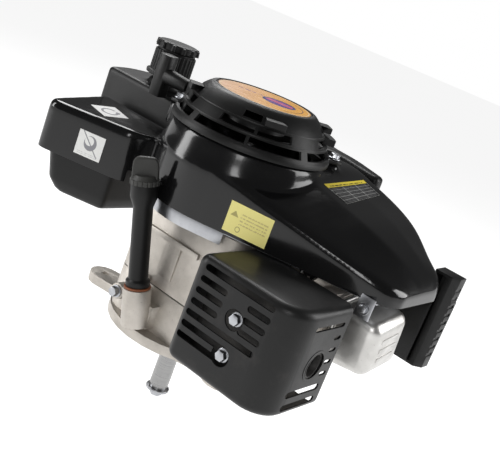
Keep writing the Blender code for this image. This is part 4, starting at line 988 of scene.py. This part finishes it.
def silencer_guard():
    low, high = Vector(GUARD_LOW), Vector(GUARD_HIGH)
    high.x += GUARD_GROWS_X
    high.y += GUARD_GROWS_Y
    outer = bevel(prism(rounded_plan(low, high, 12, 32), low.z, high.z), 9, 5, 50)
    thin = Vector((2, 2, 0))
    inner = prism(rounded_plan(low + thin, high - thin, 10, 30), low.z + 2, high.z - 2)
    cut(outer, bevel(inner, 7, 4, 50), box((0, high.y, 0), (300, 60, 300)))
    x0, x1, y = low.x, GUARD_HIGH.x, low.y
    for row in range(7):
        z = high.z - 9 - row * SLOT_PITCH
        if row in (0, 4):
            spans = ((x0 + 13 - row, x1 - 15 - row),)
        elif row < 4:
            spans = ((x0 + 13 - row, x0 + 44 - row), (x1 - 38 - row, x1 - 14 - row))
        else:
            spans = ((x0 + 13 - row, x0 + 67 - row),)
        for a, b in spans:
            cut(outer, capsule_y(a, b + 3, z, 3.2, y - 5, y + 14))
    for nut_low, nut_high in NUTS:
        x, z = (nut_low.x + nut_high.x) / 2, (nut_low.z + nut_high.z) / 2
        cut(outer, rod((x, y - 5, z), (x, y + 14, z), 10.4))
    side = high.x
    cut(outer, outlet_rod(side - 12, side + 5, OUTLET_R))
    lip = outlet_rod(side - 3, side + 0.4, OUTLET_R + 2.5)
    fuse(outer, cut(lip, outlet_rod(side - 6, side + 4, OUTLET_R)))
    cut(outer, capsule_x(-104, high.y - 7, high.z - 18, 2.4, side - 14, side + 4))
    for z in (low.z + 11, low.z + 25):
        cut(outer, capsule_x(low.y + 28, high.y - 8, z, 3.6, side - 14, side + 4))
    for i in range(4):
        z = high.z - 32 - i * 13
        cut(outer, capsule_x(high.y - 17, high.y - 5, z, 2.2, side - 14, side + 4))
    bevel(outer, 0.5, 2, 45)
    return place(outer, "silencer_guard", "housing", "satin_black", "muffler_guard")


def outlet_pipe():
    """The silencer's blackened outlet, seen through the guard's side."""
    end = GUARD_HIGH.x + GUARD_GROWS_X - 0.5
    pipe = rod((180, OUTLET_Y - 3, OUTLET_Z), (end, OUTLET_Y, OUTLET_Z), OUTLET_R - 0.1)
    cut(pipe, rod((190, OUTLET_Y - 2, OUTLET_Z), (220, OUTLET_Y + 0.6, OUTLET_Z), 11.6))
    return place(bevel(pipe, 0.5, 2), "outlet_pipe", "housing", "cast_iron")


guard = silencer_guard()
outlet_pipe()
print("silencer guard:", len(guard.data.polygons), "faces")

# %% [markdown]
# ## The rocker cover
# A die-cast box, silver and smooth, with a foot round its base and three plain raised bars on its end. It
# narrows towards that end, as a casting must to leave its mould, so the far points of a box are drawn in
# before its edges are rounded.

# %% Rocker cover
ROCKER_LOW, ROCKER_HIGH = node_box("valve_cover")
ROCKER_CENTRE = (ROCKER_LOW + ROCKER_HIGH) / 2
ROCKER_TILT = math.radians(9)
ROCKER_TAPER = 0.86
DIE_CAST = cast_metal("die_cast", (0.5, 0.49, 0.47, 1), (0.72, 0.71, 0.69, 1), 0.24, 0.95, 0.12)


def rocker_cover():
    c = ROCKER_CENTRE
    x0, x1 = ROCKER_LOW.x, ROCKER_HIGH.x
    half_y, half_z = 36.5, 34.5
    body = box((x0, c.y - half_y, c.z - half_z), (x1, c.y + half_y, c.z + half_z))
    for vertex in body.data.vertices:
        if vertex.co.x / MM > c.x:
            vertex.co.y = c.y * MM + (vertex.co.y - c.y * MM) * ROCKER_TAPER
            vertex.co.z = c.z * MM + (vertex.co.z - c.z * MM) * ROCKER_TAPER
    bevel(body, 11, 6, 20)
    cut(body, box((x0 - 20, c.y - 60, c.z - 60), (x0 + 2, c.y + 60, c.z + 60)))
    foot = box((x0, c.y - 38, c.z - 36), (x0 + 5, c.y + 38, c.z + 36))
    fuse(body, bevel(foot, 2.0, 3))
    hollow = box((x0 - 1, c.y - 31, c.z - 29), (x1 - 4, c.y + 31, c.z + 29))
    cut(body, bevel(hollow, 8, 3))
    for i in range(3):
        bar = box((x1 - 0.6, c.y - 15, c.z - 14 + i * 11), (x1 + 0.9, c.y + 15, c.z - 9 + i * 11))
        fuse(body, bevel(bar, 0.5, 2))
    bevel(body, 0.4, 2, 50)
    tilt = Matrix.Rotation(ROCKER_TILT, 4, "X")
    pivot = Vector((x0, c.y, c.z)) * MM
    body.data.transform(Matrix.Translation(pivot) @ tilt @ Matrix.Translation(-pivot))
    return place(body, "rocker_cover", "housing", "cast_aluminium", "valve_cover", finish=DIE_CAST)


rocker = rocker_cover()
print("rocker cover:", len(rocker.data.polygons), "faces")


# %% [markdown]
# ## The air cleaner's lid
# A black moulded lid clips over the filter. Its node has the right shape but for one end, so a copy of the
# node gets a wall that closes the end towards the engine, and the corner beside it is cut at a slant.


# %% Air cleaner lid
def air_lid():
    low, high = node_box("air_cleaner_cover")
    lid = merged_copy("air_cleaner_cover")
    x, y = high.x, low.y
    closing = [(x - 14, y + 0.1), (x - 1, y + 0.1), (x - 1, y + 13), (x - 14, y + 4)]
    wall = prism(closing, low.z + 1, high.z - 1)
    corner = prism([(x - 8.5, y - 2), (x + 3, y - 2), (x + 3, y + 13.6)], low.z - 5, high.z + 5)
    cut(fuse(lid, wall), corner)
    bevel(lid, 1.0, 2, 32)
    return place(lid, "air_lid", "filter_lid", "plastic_black", "air_cleaner_cover", angle=35)


lid = air_lid()
print("air cleaner lid:", len(lid.data.polygons), "faces")

# %% [markdown]
# ## The cover's bracket
# A small plated tab holds the fan cover to the head, with one screw through it.

# %% Cover bracket
TAB_X, SCREW_Z = 211.0, 146
TAB_Y = wall_y(TAB_X) - 2.5
tab = bevel(box((TAB_X - 9, TAB_Y, 136), (TAB_X + 9, TAB_Y + 1.6, 159)), 1.2, 2)
screw = rod((TAB_X, TAB_Y - 4, SCREW_Z), (TAB_X, TAB_Y + 3, SCREW_Z), 4.6, sides=6)
collar = rod((TAB_X, TAB_Y - 1, SCREW_Z), (TAB_X, TAB_Y + 0.2, SCREW_Z), 6.4, sides=40)
merge_into(tab, bevel(screw, 0.5, 2), bevel(collar, 0.3, 1))
place(tab, "cover_bracket", "housing", "zinc")
print("bracket at x", TAB_X)

# %% [markdown]
# ## The oil dipstick
# A round grey knob with a flat wing to turn it by, and notches round its skirt. It pulls out along a leaning
# line, so every part of it is laid along the joint's own axis.

# %% Dipstick
KNOB_SEAT = Vector((-30, -105, 166))
# Sections up the wing: height, half width and half thickness.
WING = ((4, 14, 4.4), (18, 13.5, 3.6), (24, 12.6, 3.4), (27.5, 9.5, 3.0), (28.6, 6, 2.2))


def dipstick():
    joints = frame["record"]["behaviour"]["joints"]
    pull = next(joint for joint in joints if joint["name"] == "dipstick_pull")
    along = Vector(pull["axis"]).normalized()
    head = KNOB_SEAT + along * 0.3
    knob = rod(head, head + along * 5, 15.5)
    turn = along.to_track_quat("Z", "Y").to_matrix()
    for i in range(18):
        notch = turn @ Vector((*polar(16.2, 20 * i), 0))
        cut(knob, rod(head + notch - along, head + notch + along * 6, 1.5, sides=12))
    fuse(knob, rod(head + along * 4.9, head + along * 9.5, 14.2, 11))
    side = along.cross(Vector((0, 0, 1))).normalized()
    other = along.cross(side).normalized()
    rings = []
    for height, half, thick in WING:
        corners = ((half, thick), (-half, thick), (-half, -thick), (half, -thick))
        rings.append([head + along * height + other * a + side * b for a, b in corners])
    wing = bevel(skin(rings), 1.4, 3, 30)
    fuse(knob, wing)
    bevel(knob, 0.5, 2, 40)
    fuse(knob, rod(head - along * 8, head + along, 7.0))
    fuse(knob, rod(head - along * 119, head - along * 7, 1.8, sides=12))
    return place(knob, "dipstick_knob", "oil_stick", "grey_plastic", "dipstick")


knob = dipstick()
print("dipstick:", len(knob.data.polygons), "faces")

# %% [markdown]
# ## The starter rope
# The rope is a round tube of rings laid straight from the eyelet to the handle, in place of its node.
# It is tied to neither the housing nor the handle.


# %% Starter rope
def starter_rope():
    low, high = node_box("starter_rope")
    y, z, radius = (low.y + high.y) / 2, (low.z + high.z) / 2, (high.z - low.z) / 2
    circle = [polar(radius, 30 * k) for k in range(12)]
    rings = []
    steps = 40
    for i in range(steps + 1):
        x = high.x + (low.x - high.x) * i / steps
        rings.append([(x, y + a, z + b) for a, b in circle])
    rope = smooth(skin(rings), 40)
    rope.name = rope.data.name = "pull_rope"
    rope.data.materials.append(FINISHES["cord"])
    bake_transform(rope)
    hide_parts("starter_rope")
    return rope


starter_rope()
print("starter rope laid from the eyelet to the handle")

# %% [markdown]
# ## Stickers
# Each sticker is a thin sheet laid against the cover: a grid near the surface is shrunk onto it, so it
# follows the bend. The prints are plain rules and shapes, placed by the sheet's own UV map.


# %% Stickers
def sticker(name, corners, finish, surface, lift=0.25, cuts=12):
    """corners: bottom left, bottom right, top right, top left, in millimetres, just outside the surface."""
    a, b, c, d = (Vector(p) for p in corners)
    points, faces, uvs = [], [], []
    for j in range(cuts + 1):
        for i in range(cuts + 1):
            u, v = i / cuts, j / cuts
            points.append(((a * (1 - u) + b * u) * (1 - v) + (d * (1 - u) + c * u) * v) * MM)
    for j in range(cuts):
        for i in range(cuts):
            p = j * (cuts + 1) + i
            faces.append((p, p + 1, p + cuts + 2, p + cuts + 1))
            uvs += [(i / cuts, j / cuts), ((i + 1) / cuts, j / cuts)]
            uvs += [((i + 1) / cuts, (j + 1) / cuts), (i / cuts, (j + 1) / cuts)]
    mesh = bpy.data.meshes.new(name)
    mesh.from_pydata(points, [], faces)
    layer = mesh.uv_layers.new(name="print")
    for loop, uv in zip(layer.data, uvs):
        loop.uv = uv
    obj = bpy.data.objects.new(name, mesh)
    bpy.context.scene.collection.objects.link(obj)
    modify(
        obj,
        "SHRINKWRAP",
        target=surface,
        wrap_method="PROJECT",
        use_negative_direction=True,
        use_positive_direction=True,
        offset=lift * MM,
        wrap_mode="ABOVE_SURFACE",
    )
    modify(obj, "SOLIDIFY", thickness=0.15 * MM, offset=1)
    return place(obj, name, "housing", "gloss_black", finish=finish, angle=60)


def print_finish(name, paint):
    f = Finish(name)
    uv = f.node("ShaderNodeTexCoord", output="UV")
    u, v, _ = f.axes(uv)
    f.set(Base_Color=paint(f, u, v), Roughness=f.noise(90, 3) * 0.1 + 0.3)
    return f.material


def rules(f, u, v, rows, left, right, low, high):
    """Broken lines in rows, as small print looks from afar."""
    line = ((v - low) * (rows / (high - low))).repeat()
    inside = u.above(left).both(u.below(right)).both(v.above(low)).both(v.below(high))
    spread = f.node("ShaderNodeCombineXYZ", None, {0: u * 40, 1: v * rows * 1.4})
    words = f.noise(1.0, 0, 0.5, spread).above(0.42)
    return line.below(0.42).both(inside).both(words)


def yellow_print(f, u, v):
    ink = rules(f, u, v, 4, 0.30, 0.92, 0.36, 0.80) * 0.55
    triangle = ((u - 0.16).size() * 1.9 + (v - 0.60)).below(0.14).both(v.above(0.56))
    ring = (((u - 0.32) ** 2 + ((v - 0.2) * 0.6) ** 2) ** 0.5 - 0.05).size().below(0.008)
    colour = f.blend(ink, (0.95, 0.86, 0.30, 1), (0.40, 0.30, 0.12, 1))
    return f.blend(triangle.either(ring) * 0.6, colour, (0.12, 0.08, 0.02, 1))


def plate_print(f, u, v):
    header = v.above(0.80)
    columns = ((u * 3).repeat() - 0.5).size().above(0.485)
    lines = ((v * 6).repeat() - 0.5).size().above(0.46)
    ink = rules(f, u, v, 12, 0.05, 0.95, 0.05, 0.78) * 0.6
    colour = f.blend(columns.either(lines) * 0.8, (0.006, 0.006, 0.007, 1), (0.5, 0.5, 0.48, 1))
    colour = f.blend(ink * 0.5, colour, (0.4, 0.4, 0.4, 1))
    colour = f.blend(header, colour, (0.75, 0.6, 0.05, 1))
    return f.blend(rules(f, u, v, 1, 0.08, 0.9, 0.84, 0.97), colour, (0.05, 0.04, 0.0, 1))


def flame_print(f, u, v):
    ink = rules(f, u, v, 2, 0.1, 0.9, 0.06, 0.2) * 0.5
    shape = (((u - 0.5) ** 2 + ((v - 0.58) * 0.8) ** 2) ** 0.5).below(0.24)
    hole = (((u - 0.45) ** 2 + ((v - 0.66) * 0.9) ** 2) ** 0.5).below(0.17)
    slash = ((u - 0.5) + (v - 0.55) * 0.8).size().below(0.025).both((u - 0.5).size().below(0.36))
    colour = f.blend(shape.both(1 - hole).either(slash), (0.82, 0.82, 0.8, 1), (0.25, 0.25, 0.27, 1))
    return f.blend(ink, colour, (0.4, 0.4, 0.4, 1))


def turn_print(f, u, v):
    ring = (((u - 0.5) ** 2 + (v - 0.5) ** 2) ** 0.5 - 0.27).size()
    gap = (u - 0.5).above(0.0).both((v - 0.5).size().below(0.09))
    arrow = (u - 0.78).size() + (v - 0.40).size()
    mark = ring.below(0.045).both(1 - gap).either(arrow.below(0.11))
    return f.blend(mark, (0.85, 0.85, 0.84, 1), (0.2, 0.2, 0.22, 1))


OUTWARD = math.radians(WALL_TURN)
OUT = Vector((math.sin(OUTWARD), -math.cos(OUTWARD), 0)) * 6


def on_wall(x, z):
    """A point just outside the hood's wall."""
    return Vector((x, wall_y(x), z)) + OUT


sticker(
    "wall_sticker",
    (on_wall(59, 158), on_wall(104, 157.4), on_wall(104, 188.5), on_wall(59, 190)),
    print_finish("wall_sticker_print", yellow_print),
    cover,
)
sticker(
    "hood_plate",
    ((131, 28, 236), (117, 122, 236), (92, 122, 246), (98, 26, 246)),
    print_finish("hood_plate_print", plate_print),
    cover,
)
sticker(
    "lobe_sticker",
    ((-148, -99, 150), (-119, -86, 150), (-119, -86, 178), (-148, -99, 178)),
    print_finish("lobe_sticker_print", flame_print),
    cover,
)
sticker(
    "lobe_top_sticker",
    ((-142, -74, 216), (-135, -43, 216), (-167, -36, 216), (-174, -67, 216)),
    print_finish("lobe_top_print", turn_print),
    cover,
)
print("stickers laid on the cover")

# %% [markdown]
# ## The nodes left as they are
# What stays a CAD node, mostly inside the engine, gets its finish on its own material slots.

# %% Finish the other nodes
kept = 0
for name, node in frame["nodes"].items():
    if node.hide_render:
        continue
    finish = FINISHES.get(SLOT_OF[name])
    if finish and node.material_slots:
        for material_slot in node.material_slots:
            material_slot.material = finish
        kept += 1
print("finished", kept, "nodes")
